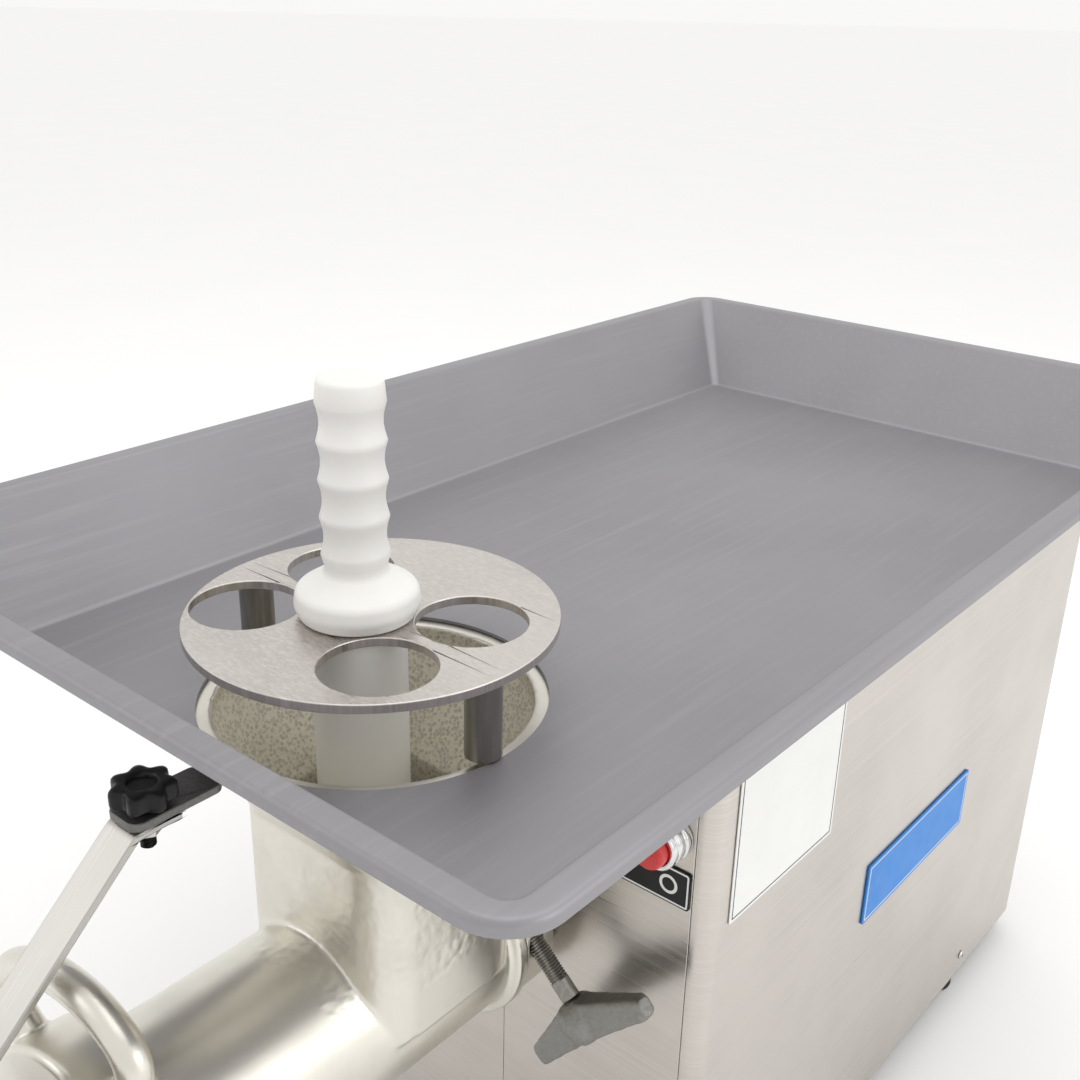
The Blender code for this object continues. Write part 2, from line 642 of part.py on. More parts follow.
def rear_panel():
    """Rear panel with rows of cooling slots and the cable's gland hole."""
    panel = box("rear_panel", "brushed_steel", (-PANEL_HALF, PANEL_HALF), (BODY_REAR - SHEET, BODY_REAR),
                (BODY_BOTTOM, PANEL_TOP))
    for row in range(5):
        z = 0.110 + 0.022 * row
        slot = box("slot_%d" % row, "brushed_steel", (-0.085, 0.085), (BODY_REAR - 0.006, BODY_REAR + 0.004),
                   (z, z + 0.006))
        cut(panel, slot)
    cut(panel, cylinder("gland_hole", "brushed_steel", 0.0100, 0.02, (0.100, BODY_REAR, 0.070), ALONG_Y, 20))


def base_plate():
    box("base_plate", "gear_steel", (-BODY_HALF + 0.008, BODY_HALF - 0.008),
        (BODY_FRONT + 0.008, BODY_REAR - 0.008), (BODY_BOTTOM, BODY_BOTTOM + 0.004))


def feet():
    """Four turned legs under the base, each on a rubber pad."""
    for x_name, x in (("left", -FOOT_X), ("right", FOOT_X)):
        for y_name, y in (("front", FOOT_FRONT), ("rear", FOOT_REAR)):
            name = "%s_%s" % (y_name, x_name)
            cylinder("leg_" + name, "machined_steel", 0.0140, BODY_BOTTOM - 0.012 - 2 * GAP,
                     (x, y, (BODY_BOTTOM + 0.012) / 2), sides=24)
            turned("pad_" + name, "black_rubber",
                   [(0, 0.012), (0.017, 0.012), (0.020, 0.009), (0.020, 0.001), (0.019, 0), (0, 0)],
                   (x, y, 0), steps=16)


def leg_screws():
    """A screw low on each side, at each leg."""
    for x_name, side in (("left", -1), ("right", 1)):
        for y_name, y in (("front", FOOT_FRONT), ("rear", FOOT_REAR)):
            turn = ALONG_X if side > 0 else Matrix.Rotation(-pi / 2, 4, "Y")
            profile = [(0, 0.0022), (0.0022, 0.0021), (0.0038, 0.0012), (0.0042, 0), (0, 0)]
            turned("side_screw_%s_%s" % (y_name, x_name), "machined_steel", profile,
                   (side * (BODY_HALF + GAP), y, BODY_BOTTOM + 0.018), turn, 12)


# ---------------------------------------------------------------- gear train and motor


def involute(base, angle):
    return base * sqrt(1 + angle * angle), angle - atan(angle)


def gear_outline(teeth, backlash):
    """Spur gear outline with involute flanks, thinned by half the backlash on each flank."""
    pitch = MODULE * teeth / 2
    base = pitch * cos(radians(20))
    tip = pitch + 0.85 * MODULE
    root = pitch - 1.20 * MODULE
    at_pitch = sqrt((pitch / base) ** 2 - 1)
    half_tooth = pi / (2 * teeth) + (at_pitch - atan(at_pitch)) - backlash / (2 * pitch)
    at_tip = sqrt((tip / base) ** 2 - 1)
    start = max(root * 1.02, base)
    at_start = sqrt(max((start / base) ** 2 - 1, 0))
    flank = []
    for i in range(2):
        radius, polar = involute(base, at_start + (at_tip - at_start) * i)
        flank.append((radius, half_tooth - polar))
    points = []
    for tooth in range(teeth):
        middle = 2 * pi * tooth / teeth
        points.append((root, middle - half_tooth))
        points += [(radius, middle - offset) for radius, offset in flank]
        points += [(radius, middle + offset) for radius, offset in reversed(flank)]
        points.append((root, middle + half_tooth))
    return [(r * cos(a), r * sin(a)) for r, a in points]


def gears():
    """A large gear on the output shaft and the motor's pinion below it, in mesh at rest."""
    gear_middle = (0, GEAR_Y, AXIS_Z)
    flat("output_gear", "gear_steel", [gear_outline(GEAR_TEETH, 0.0004), circle(0.0205, 32)], GEAR_WIDTH,
         gear_middle, ALONG_Y @ Matrix.Rotation(pi / 2 + pi / GEAR_TEETH, 4, "Z"))
    flat("motor_pinion", "gear_steel", [gear_outline(PINION_TEETH, 0.0004), circle(0.0105, 24)], GEAR_WIDTH,
         (0, GEAR_Y, MOTOR_Z), ALONG_Y @ Matrix.Rotation(pi / 2, 4, "Z"))


def output_shaft():
    """Stepped shaft with a square socket for the auger's tang."""
    front, rear = 0.0610 + 0.0005, 0.197
    profile = [(0.0000, rear), (0.0140, rear), (0.0140, 0.1760), (0.0200, 0.1755), (0.0200, 0.1400),
               (0.0178, 0.1395), (0.0178, front), (0, front)]
    shaft = turned("output_shaft", "gear_steel", profile, (0, 0, AXIS_Z), ALONG_Y, 24)
    cut(shaft, box("tang_socket", "gear_steel", (-0.0113, 0.0113), (0.05, 0.0735),
                   (AXIS_Z - 0.0113, AXIS_Z + 0.0113)))


def gearbox():
    """Cast case open to the rear, with its cover plate."""
    low, high = MOTOR_Z - 0.029, AXIS_Z + 0.098
    middle = (low + high) / 2
    outline = round_rectangle(-0.098, 0.098, low - middle, high - middle, 0.085, arc=8)
    turn = Matrix(((1, 0, 0, 0), (0, 0, -1, 0), (0, 1, 0, 0), (0, 0, 0, 1)))
    depth = 0.070
    case = flat("gearbox_case", "rough_cast", [outline], depth, (0, 0.1135 + depth / 2, middle), turn)
    inner = round_rectangle(-0.0915, 0.0915, low - middle + 0.0065, high - middle - 0.0065, 0.0785, arc=8)
    cut(case, flat("case_inside", "rough_cast", [inner], depth, (0, 0.1135 + depth / 2 + 0.009, middle),
                   turn))
    cut(case, cylinder("case_bore", "rough_cast", 0.0313, 0.04, (0, 0.1135, AXIS_Z), ALONG_Y, 40))
    cover = flat("gearbox_cover", "rough_cast", [outline], 0.008, (0, 0.1135 + depth + GAP + 0.004, middle),
                 turn)
    cut(cover, cylinder("cover_bore", "rough_cast", 0.0233, 0.04, (0, 0.1880, AXIS_Z), ALONG_Y, 32))
    cut(cover, cylinder("cover_motor_hole", "rough_cast", 0.0125, 0.04, (0, 0.1880, MOTOR_Z), ALONG_Y, 24))
    tube_ring("front_bearing", "machined_steel", 0.0310, 0.0181, 0.1140, 0.1220, (0, 0, AXIS_Z), ALONG_Y, 20)
    tube_ring("rear_bearing", "machined_steel", 0.0230, 0.0143, 0.1845, 0.1915, (0, 0, AXIS_Z), ALONG_Y, 20)


def motor():
    """Motor under the output shaft: finned body, end bell, capacitor, shaft and cooling fan."""
    front, rear = 0.1935, 0.470
    profile = [(0.0720, rear), (0.0720, front + 0.010), (0.0600, front), (0.0145, front), (0.0145, rear)]
    body = turned("motor_body", "motor_paint", profile, (0, 0, MOTOR_Z), ALONG_Y, 36, closed=True)
    bell = [(0.0720, rear + 0.045), (0.0720, rear + GAP), (0.0690, rear + GAP), (0.0690, rear + 0.042),
            (0.0300, rear + 0.042), (0.0300, rear + 0.045)]
    turned("motor_end_bell", "motor_paint", bell, (0, 0, MOTOR_Z), ALONG_Y, 24, closed=True)
    for x_name, x in (("left", -0.055), ("right", 0.055)):
        box("motor_rail_" + x_name, "gear_steel", (x - 0.012, x + 0.012), (0.230, 0.440),
            (BODY_BOTTOM + 0.004 + GAP, MOTOR_Z - sqrt(0.0720 ** 2 - 0.043 ** 2) - 0.0006))
    shaft_front = GEAR_Y - 0.0180
    cylinder("motor_shaft", "gear_steel", 0.0102, rear + 0.036 - shaft_front,
             (0, (rear + 0.036 + shaft_front) / 2, MOTOR_Z), ALONG_Y, 24)
    blades = []
    for i in range(7):
        a = 2 * pi * i / 7
        blades += [(0.0180 * cos(a - 0.30), 0.0180 * sin(a - 0.30)),
                   (0.0620 * cos(a - 0.16), 0.0620 * sin(a - 0.16)),
                   (0.0620 * cos(a + 0.16), 0.0620 * sin(a + 0.16)),
                   (0.0180 * cos(a + 0.30), 0.0180 * sin(a + 0.30))]
    flat("motor_fan", "black_plastic", [blades, circle(0.0105, 24)], 0.014, (0, rear + 0.020, MOTOR_Z),
         ALONG_Y)
    stand = BODY_BOTTOM + 0.004 + GAP
    cylinder("start_capacitor", "black_plastic", 0.0220, 0.090, (0.116, 0.300, stand + 0.045), sides=24,
             bevel=0.002)


# ---------------------------------------------------------------- controls, plates and cable entry


def controls():
    """Start and stop buttons in chrome bezels over a plain marking strip, with the switch box behind."""
    for name, look, x in (("start", "green_plastic", START_X), ("stop", "red_plastic", STOP_X)):
        spot = (x, BODY_FRONT, BUTTON_Z)
        bezel = [(0.0134, 0.0190), (0.0140, 0.0170), (0.0140, 0.0003), (0.0104, 0.0003), (0.0104, 0.0185),
                 (0.0110, 0.0190)]
        turned(name + "_bezel", "chrome", bezel, spot, FACING_FRONT, 20, closed=True)
        button = [(0, 0.0275), (0.0070, 0.0272), (0.0092, 0.0262), (0.0100, 0.0245), (0.0100, 0.0060),
                  (0.0050, 0.0060), (0.0050, -0.0140), (0, -0.0140)]
        turned(name + "_button", look, button, spot, FACING_FRONT, 16)
    low, high = BUTTON_Z - 0.046, BUTTON_Z - 0.021
    box("marking_strip", "black_plastic", (0.056, 0.1455), (BODY_FRONT - 0.0010 - GAP, BODY_FRONT - GAP),
        (low, high))
    switch = box("switch_box", "black_plastic", (0.068, 0.140),
                 (BODY_FRONT + SHEET + GAP, BODY_FRONT + 0.050), (BUTTON_Z - 0.022, BUTTON_Z + 0.022))
    for number, x in enumerate((START_X, STOP_X)):
        cut(switch, cylinder("plunger_%d" % number, "black_plastic", 0.0056, 0.045, (x, BODY_FRONT, BUTTON_Z),
                             ALONG_Y, 16))


def side_plates():
    """Blank trim plates on the right side: a pale panel and a blue bar."""
    face = BODY_HALF + GAP
    box("pale_side_plate", "label_white", (face, face + 0.0008), (0.120, 0.240),
        (PAN_Z - 0.142, PAN_Z - 0.040))
    box("blue_side_plate", "label_blue", (face, face + 0.0015), (0.310, 0.478),
        (PAN_Z - 0.258, PAN_Z - 0.208), 0.0005)


def cable_gland():
    """Gland in the rear panel where the supply cable enters."""
    profile = [(0.0070, 0.024), (0.0095, 0.022), (0.0095, 0.012), (0.0130, 0.010), (0.0130, 0.0003),
               (0.0096, 0.0003), (0.0096, -0.010), (0.0045, -0.010), (0.0045, 0.024)]
    turned("cable_gland", "black_plastic", profile, (0.100, BODY_REAR, 0.070), ALONG_Y, 16, closed=True)


feed_pan()
guard()
stomper()
head_body()
auger()
knife()
hole_plate()
ring_nut()
auger_washer()
bracket()
outlet_shield(*strap_bar())
star_knob()
strap_nut()
attachment_hub()
clamp_screw()
housing_shell()
front_panels()
rear_panel()
base_plate()
feet()
leg_screws()
gears()
output_shaft()
gearbox()
motor()
controls()
side_plates()
cable_gland()
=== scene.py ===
"""Looks of a commercial electric meat grinder, built round its CAD model.

Metres, +Z up, +Y towards the motor end. Pieces are modelled in the machine's own coordinates, where X = 0 is
the barrel's axis, Y = 0 the hopper's axis and Z = 0 the table. They then stand at MACHINE.
"""

import json
from math import cos, pi, radians, sin, sqrt, tan

import bmesh
import bpy
import numpy as np
from mathutils import Matrix, Vector, noise

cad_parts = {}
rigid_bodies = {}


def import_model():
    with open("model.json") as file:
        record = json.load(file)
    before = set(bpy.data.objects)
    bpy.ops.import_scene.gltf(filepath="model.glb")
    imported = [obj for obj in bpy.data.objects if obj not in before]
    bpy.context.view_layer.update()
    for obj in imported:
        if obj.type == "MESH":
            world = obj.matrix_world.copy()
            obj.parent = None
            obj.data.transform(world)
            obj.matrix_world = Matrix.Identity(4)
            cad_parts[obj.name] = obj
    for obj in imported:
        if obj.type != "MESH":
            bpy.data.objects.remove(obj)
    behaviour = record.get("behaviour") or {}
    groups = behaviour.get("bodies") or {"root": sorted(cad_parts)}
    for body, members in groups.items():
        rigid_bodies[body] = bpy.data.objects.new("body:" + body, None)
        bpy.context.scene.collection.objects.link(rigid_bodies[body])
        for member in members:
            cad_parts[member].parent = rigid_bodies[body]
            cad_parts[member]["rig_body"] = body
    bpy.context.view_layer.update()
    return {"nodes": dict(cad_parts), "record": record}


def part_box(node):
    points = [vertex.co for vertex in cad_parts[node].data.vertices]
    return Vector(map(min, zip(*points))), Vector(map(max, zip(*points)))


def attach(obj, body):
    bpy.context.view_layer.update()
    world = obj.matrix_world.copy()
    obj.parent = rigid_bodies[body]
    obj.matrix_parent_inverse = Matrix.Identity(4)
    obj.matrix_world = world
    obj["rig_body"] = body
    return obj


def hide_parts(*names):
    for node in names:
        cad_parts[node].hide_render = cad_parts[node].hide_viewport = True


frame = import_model()
NODES = frame["nodes"]
BODY_OF = {name: node["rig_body"] for name, node in NODES.items()}
SLOT_OF = {part["node"]: part["material_slot"] for part in frame["record"]["subparts"]}

# ---------------------------------------------------------------- driving dimensions, from the frame


def size(node):
    low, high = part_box(node)
    return high - low


def centre(node):
    low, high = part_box(node)
    return (high + low) / 2


THROAT_SPAN = 0.1918                     # hopper's axis to the hole plate's front face
MACHINE = Vector((centre("hole_plate").x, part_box("hole_plate")[0].y + THROAT_SPAN, 0))


def low_of(node):
    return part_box(node)[0] - MACHINE


def high_of(node):
    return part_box(node)[1] - MACHINE


def spot_of(node):
    return centre(node) - MACHINE


GAP = 0.0003                             # between pieces that touch
SHEET = 0.002                            # wall of the pan, the housing and the shield
THROUGH = 0.02                           # length of a cutter that goes through a panel
PAN_Z = low_of("feed_pan").z + SHEET     # top of the pan's floor
PAN_TOP = high_of("feed_pan").z
PAN_RIM = 0.013                          # width of the flat rim round the pan
WALL_LEAN = 0.050                        # how far the pan's walls lean out
HOLE_R = 0.094                           # the pan's hole
AXIS_Z = centre("hole_plate").z
HEAD_FRONT, HEAD_REAR = low_of("head_body").y, 0.0605
PLATE_R = size("hole_plate").x / 2
DISC_TOP = high_of("guard_disc").z
DISC_R = size("guard_disc").x / 2
FEED_X, FEED_Y = spot_of("stomper").xy
STOMPER_TOP, STOMPER_END = high_of("stomper").z, low_of("stomper").z
BODY_HALF = high_of("housing_shell").x
BODY_FRONT, BODY_REAR = low_of("housing_shell").y, high_of("housing_shell").y
BODY_BOTTOM, BODY_TOP = low_of("housing_shell").z, high_of("housing_shell").z
KNOB_X, KNOB_Y = spot_of("strap_nut").xy

# ---------------------------------------------------------------- materials


def add_node(tree, kind, inputs=None, **settings):
    made = tree.nodes.new(kind)
    for key, value in settings.items():
        setattr(made, key, value)
    for key, value in (inputs or {}).items():
        made.inputs[key].default_value = value
    return made


class Finish:
    """A Principled material with layered noise in object coordinates."""

    def __init__(self, name, colour, roughness, metallic, **sockets):
        self.material = bpy.data.materials.new(name)
        self.material.use_nodes = True
        self.tree = self.material.node_tree
        self.shader = self.tree.nodes["Principled BSDF"]
        self.colour, self.roughness = colour, roughness
        self.shader.inputs["Base Color"].default_value = (*colour, 1)
        self.shader.inputs["Roughness"].default_value = roughness
        self.shader.inputs["Metallic"].default_value = metallic
        for key, value in sockets.items():
            socket = key.replace("_", " ").title().replace("Ior", "IOR")
            self.shader.inputs[socket].default_value = value
        self.coordinates = self.tree.nodes.new("ShaderNodeTexCoord")
        self.colour_out = None
        self.normal_out = None

    def link(self, start, end):
        self.tree.links.new(start, end)

    def pattern(self, scale, detail=3.0, stretch=(1, 1, 1), kind="noise", roughness=0.55):
        """A texture's value; stretch multiplies the coordinates along each axis."""
        mapping = add_node(self.tree, "ShaderNodeMapping", {"Scale": stretch})
        self.link(self.coordinates.outputs["Object"], mapping.inputs["Vector"])
        if kind == "cells":
            texture = add_node(self.tree, "ShaderNodeTexVoronoi", {"Scale": scale})
            out = texture.outputs["Distance"]
        else:
            texture = add_node(self.tree, "ShaderNodeTexNoise",
                               {"Scale": scale, "Detail": detail, "Roughness": roughness})
            out = texture.outputs["Fac"]
        self.link(mapping.outputs["Vector"], texture.inputs["Vector"])
        return out

    def tint(self, value, other, low=0.35, high=0.65):
        """Blend the colour towards another where the value is high."""
        ramp = add_node(self.tree, "ShaderNodeMapRange", {"From Min": low, "From Max": high})
        self.link(value, ramp.inputs["Value"])
        mix = add_node(self.tree, "ShaderNodeMix", data_type="RGBA")
        first, second = mix.inputs[6], mix.inputs[7]      # the two colour sockets
        if self.colour_out is not None:
            self.link(self.colour_out, first)
        else:
            first.default_value = (*self.colour, 1)
        second.default_value = (*other, 1)
        self.link(ramp.outputs["Result"], mix.inputs["Factor"])
        self.colour_out = mix.outputs[2]
        self.link(self.colour_out, self.shader.inputs["Base Color"])

    def sheen_range(self, value, spread):
        """Vary the roughness by a spread either side of its value."""
        ramp = add_node(self.tree, "ShaderNodeMapRange",
                        {"From Min": 0.3, "From Max": 0.7, "To Min": self.roughness - spread,
                         "To Max": self.roughness + spread})
        self.link(value, ramp.inputs["Value"])
        self.link(ramp.outputs["Result"], self.shader.inputs["Roughness"])

    def bump(self, value, height, strength):
        """Raise the surface by a height in metres where the value is high."""
        made = add_node(self.tree, "ShaderNodeBump", {"Distance": height, "Strength": strength})
        self.link(value, made.inputs["Height"])
        if self.normal_out is not None:
            self.link(self.normal_out, made.inputs["Normal"])
        self.normal_out = made.outputs["Normal"]
        self.link(self.normal_out, self.shader.inputs["Normal"])


def shade(colour, factor):
    """The colour made darker or lighter by a factor."""
    return tuple(min(channel * factor, 1) for channel in colour)


def brushed_metal(name, colour, roughness, stretch, height=0.00004, mottle=0.08):
    """Fine straight grain, drawn out across the stretch, over a faint cloudy mottle."""
    made = Finish(name, colour, roughness, 1.0)
    grain = made.pattern(1.0, 4.0, stretch)
    clouds = made.pattern(9.0, 3.0)
    made.tint(clouds, shade(colour, 1 - mottle * 1.6), 0.35, 0.7)
    made.tint(grain, shade(colour, 1 + mottle), 0.45, 0.75)
    made.sheen_range(grain, 0.07)
    made.bump(grain, height, 0.35)
    return made.material


def cast_metal(name, colour, roughness, grit, height, wave):
    """Casting skin: long soft waves, fine grit and a few darker blooms."""
    made = Finish(name, colour, roughness, 1.0)
    blooms = made.pattern(14.0, 4.0)
    fine = made.pattern(grit, 5.0, roughness=0.7)
    made.tint(blooms, shade(colour, 0.86), 0.40, 0.75)
    made.sheen_range(blooms, 0.06)
    made.bump(made.pattern(28.0, 2.0), wave, 0.5)
    made.bump(fine, height, 0.5)
    return made.material


def sand_cast(name, colour, roughness, metallic, grain, height, speckle=1.0):
    """Rough as-cast skin: cellular grit with speckled light and dark grains."""
    made = Finish(name, colour, roughness, metallic)
    grit = made.pattern(grain, 6.0, roughness=0.75)
    cells = made.pattern(grain * 0.8, kind="cells")
    made.tint(grit, shade(colour, 1 - 0.55 * speckle), 0.50, 0.72)
    made.tint(cells, shade(colour, 1 + 0.25 * speckle), 0.35, 0.60)
    made.sheen_range(grit, 0.10)
    made.bump(grit, height, 0.9)
    return made.material


def moulded_plastic(name, colour, roughness, grain=900.0, height=0.00003, mottle=0.94, **sockets):
    """Moulded plastic or rubber: a fine grain and a slight change of tone."""
    made = Finish(name, colour, roughness, 0.0, **sockets)
    made.tint(made.pattern(18.0, 3.0), shade(colour, mottle), 0.35, 0.70)
    made.sheen_range(made.pattern(35.0, 3.0), 0.05)
    made.bump(made.pattern(grain, 3.0), height, 0.5)
    return made.material


def painted(name, colour, roughness):
    """Smooth enamel with a thin clear coat."""
    made = Finish(name, colour, roughness, 0.0, coat_weight=0.15)
    made.tint(made.pattern(22.0, 4.0), shade(colour, 0.96), 0.40, 0.70)
    made.sheen_range(made.pattern(60.0, 2.0), 0.05)
    made.bump(made.pattern(350.0, 3.0), 0.00005, 0.4)
    return made.material


def pan_metal():
    """Bead-blasted steel sheet: even grey, faint clouds and long rolling marks."""
    colour = (0.305, 0.298, 0.315)
    made = Finish("pan_satin_steel", colour, 0.46, 0.55)
    made.tint(made.pattern(6.0, 4.0), shade(colour, 0.90), 0.35, 0.72)
    made.tint(made.pattern(1.0, 3.0, (260, 9, 260)), shade(colour, 1.035), 0.50, 0.75)
    made.sheen_range(made.pattern(11.0, 4.0), 0.04)
    made.bump(made.pattern(4.5, 2.0), 0.0004, 0.2)
    made.bump(made.pattern(1400.0, 3.0), 0.00003, 0.35)
    return made.material


LOOK = {
    "pan_steel": pan_metal(),
    "brushed_steel": brushed_metal("housing_brushed_steel", (0.60, 0.565, 0.525), 0.34, (3, 3, 900)),
    "guard_steel": brushed_metal("guard_brushed_steel", (0.64, 0.60, 0.57), 0.32, (260, 700, 3), mottle=0.10),
    "cast_steel": cast_metal("satin_cast_steel", (0.75, 0.725, 0.655), 0.34, 420.0, 0.00006, 0.00025),
    "throat": sand_cast("rough_throat_casting", (0.62, 0.59, 0.50), 0.62, 0.55, 520.0, 0.0006),
    "machined_steel": brushed_metal("machined_steel", (0.60, 0.59, 0.57), 0.27, (500, 500, 500)),
    "strap_steel": brushed_metal("strap_drawn_steel", (0.50, 0.48, 0.455), 0.32, (900, 12, 12)),
    "rough_cast": sand_cast("rough_casting", (0.25, 0.245, 0.23), 0.42, 0.90, 700.0, 0.0003, 0.30),
    "dark_bracket": sand_cast("dark_bracket_steel", (0.17, 0.165, 0.16), 0.45, 0.85, 600.0, 0.0002, 0.4),
    "gear_steel": brushed_metal("oiled_steel", (0.30, 0.285, 0.265), 0.34, (420, 420, 30), mottle=0.16),
    "bronze": brushed_metal("turned_bronze", (0.47, 0.31, 0.13), 0.35, (500, 60, 500)),
    "white_plastic": moulded_plastic("white_pusher_plastic", (0.84, 0.83, 0.80), 0.45,
                                     subsurface_weight=0.04),
    "black_plastic": moulded_plastic("black_moulded_plastic", (0.010, 0.010, 0.011), 0.33, mottle=0.7,
                                     specular_ior_level=0.25),
    "black_rubber": moulded_plastic("black_rubber", (0.016, 0.016, 0.016), 0.75, 500.0, 0.00010, 0.7),
    "motor_paint": painted("motor_grey_paint", (0.07, 0.09, 0.11), 0.45),
    "chrome": brushed_metal("chrome_plate", (0.72, 0.72, 0.73), 0.12, (90, 90, 90), 0.00001),
    "red_plastic": moulded_plastic("red_button_plastic", (0.58, 0.030, 0.028), 0.30, mottle=0.85),
    "green_plastic": moulded_plastic("green_button_plastic", (0.02, 0.28, 0.07), 0.30, mottle=0.85),
    "label_white": painted("pale_plate_enamel", (0.80, 0.80, 0.78), 0.45),
    "label_blue": painted("blue_plate_enamel", (0.004, 0.20, 0.62), 0.5),
    "dark_line": painted("dark_line_enamel", (0.03, 0.03, 0.035), 0.5),
}

# ---------------------------------------------------------------- modelling helpers

ALONG_Y = Matrix.Rotation(-pi / 2, 4, "X")          # local +Z becomes world +Y
FACING_FRONT = Matrix.Rotation(pi / 2, 4, "X")      # local +Z becomes world -Y
FACING_RIGHT = Matrix(((0, 0, 1, 0), (1, 0, 0, 0), (0, 1, 0, 0), (0, 0, 0, 1)))   # local X, Y, Z to Y, Z, X


def added(name, data):
    """A new object in the scene."""
    piece = bpy.data.objects.new(name, data)
    bpy.context.scene.collection.objects.link(piece)
    return piece


def new_piece(name, mesh, location=(0, 0, 0), turn=None):
    """A smooth-shaded object whose mesh itself is turned and moved into place."""
    piece = added(name, mesh)
    mesh.transform(Matrix.Translation(Vector(location)) @ (turn or Matrix.Identity(4)))
    mesh.shade_smooth()
    return piece


def mesh_of(bm, name, recalculate=True):
    """The finished mesh, with its faces turned outwards unless their winding is to stay."""
    if recalculate:
        bmesh.ops.recalc_face_normals(bm, faces=bm.faces)
    mesh = bpy.data.meshes.new(name)
    bm.to_mesh(mesh)
    bm.free()
    return mesh


def bake(piece):
    """Apply the modifiers by taking the evaluated mesh."""
    bpy.context.view_layer.update()
    graph = bpy.context.evaluated_depsgraph_get()
    piece.data = bpy.data.meshes.new_from_object(piece.evaluated_get(graph))
    piece.modifiers.clear()


def remove(piece):
    bpy.data.objects.remove(piece, do_unlink=True)


def joined(name, pieces):
    """One object of several pieces' meshes, before they have materials."""
    bm = bmesh.new()
    for piece in pieces:
        bake(piece)
        bm.from_mesh(piece.data)
        remove(piece)
    return added(name, mesh_of(bm, name, recalculate=False))


def combine(piece, other, operation):
    """Join the other shape to the piece, or take it away, and use it up."""
    boolean = piece.modifiers.new("combine", "BOOLEAN")
    boolean.operation = operation
    boolean.solver = "EXACT"
    boolean.object = other
    bake(piece)
    remove(other)


def cut(piece, cutter):
    combine(piece, cutter, "DIFFERENCE")


def crease(piece, angle=40):
    """Keep the edges sharp whose faces meet at more than this many degrees."""
    piece.data.set_sharp_from_angle(angle=radians(angle))


def thicken(piece, thickness, offset=-1):
    """Make a sheet solid, behind its faces at offset -1 and in front of them at 1."""
    wall = piece.modifiers.new("sheet", "SOLIDIFY")
    wall.thickness = thickness
    wall.offset = offset
    bake(piece)


def round_edges(piece, width, segments=3, angle=40):
    bevel = piece.modifiers.new("round", "BEVEL")
    bevel.width = width
    bevel.segments = segments
    bevel.limit_method = "ANGLE"
    bevel.angle_limit = radians(angle)
    bevel.use_clamp_overlap = False
    level = piece.modifiers.new("level", "WEIGHTED_NORMAL")
    level.keep_sharp = True


def soften(piece, voxel, smoothing):
    """Remesh overlapping shapes into one skin and smooth it, which leaves a fillet at each inner corner."""
    remesh = piece.modifiers.new("skin", "REMESH")
    remesh.mode = "VOXEL"
    remesh.voxel_size = voxel
    remesh.use_smooth_shade = True
    relax = piece.modifiers.new("relax", "SMOOTH")
    relax.iterations = smoothing
    relax.factor = 0.5
    bake(piece)


def read_vectors(items, field):
    """A mesh's vectors of one kind, as an array with a row for each."""
    values = np.empty(len(items) * 3, np.float32)
    items.foreach_get(field, values)
    return values.reshape(-1, 3)


def roughen(mesh, height, scale, wanted):
    """Push the points that are wanted in or out along their normals by fractal noise."""
    spots, normals = read_vectors(mesh.vertices, "co"), read_vectors(mesh.vertices, "normal")
    for i, spot in enumerate(map(Vector, spots)):
        if wanted(spot):
            spots[i] += normals[i] * (height * noise.fractal(spot * scale, 0.8, 2.0, 3))
    mesh.vertices.foreach_set("co", spots.ravel())
    mesh.update()


def rounded(points, radii, steps=5, closed=False):
    """The outline with arcs of these radii in place of its corners."""
    count = len(points)
    if not hasattr(radii, "__len__"):
        radii = [radii] * count
    out = []
    for i, (point, radius) in enumerate(zip(points, radii)):
        corner = Vector(point)
        if radius <= 0 or (not closed and i in (0, count - 1)):
            out.append(tuple(corner))
            continue
        before = Vector(points[i - 1]) - corner
        after = Vector(points[(i + 1) % count]) - corner
        half = before.angle(after) / 2
        reach = min(radius / tan(half), before.length * 0.49, after.length * 0.49)
        true_radius = reach * tan(half)
        before.normalize()
        after.normalize()
        middle = corner + (before + after).normalized() * (true_radius / sin(half))
        start, end = corner + before * reach - middle, corner + after * reach - middle
        sweep = start.angle(end)
        for j in range(steps + 1):
            share = j / steps
            arm = start * sin((1 - share) * sweep) + end * sin(share * sweep)
            out.append(tuple(middle + arm / sin(sweep)))
    return out


def turned(name, profile, location=(0, 0, 0), turn=None, steps=96, closed=False):
    """Turn a profile of (radius, height) points, from the top of the outer side down, about local Z."""
    bm = bmesh.new()
    rings = []
    for radius, height in profile:
        points = at_height(circle(radius, steps) if radius > 1e-6 else [(0, 0)], height)
        rings.append([bm.verts.new(point) for point in points])
    pairs = list(zip(rings, rings[1:]))
    if closed:
        pairs.append((rings[-1], rings[0]))
    for upper, lower in pairs:
        for i in range(steps):
            j = (i + 1) % steps
            corners = (upper[i % len(upper)], lower[i % len(lower)],
                       lower[j % len(lower)], upper[j % len(upper)])
            corners = list(dict.fromkeys(corners))
            if len(corners) > 2:
                bm.faces.new(corners)
    return new_piece(name, mesh_of(bm, name), location, turn)


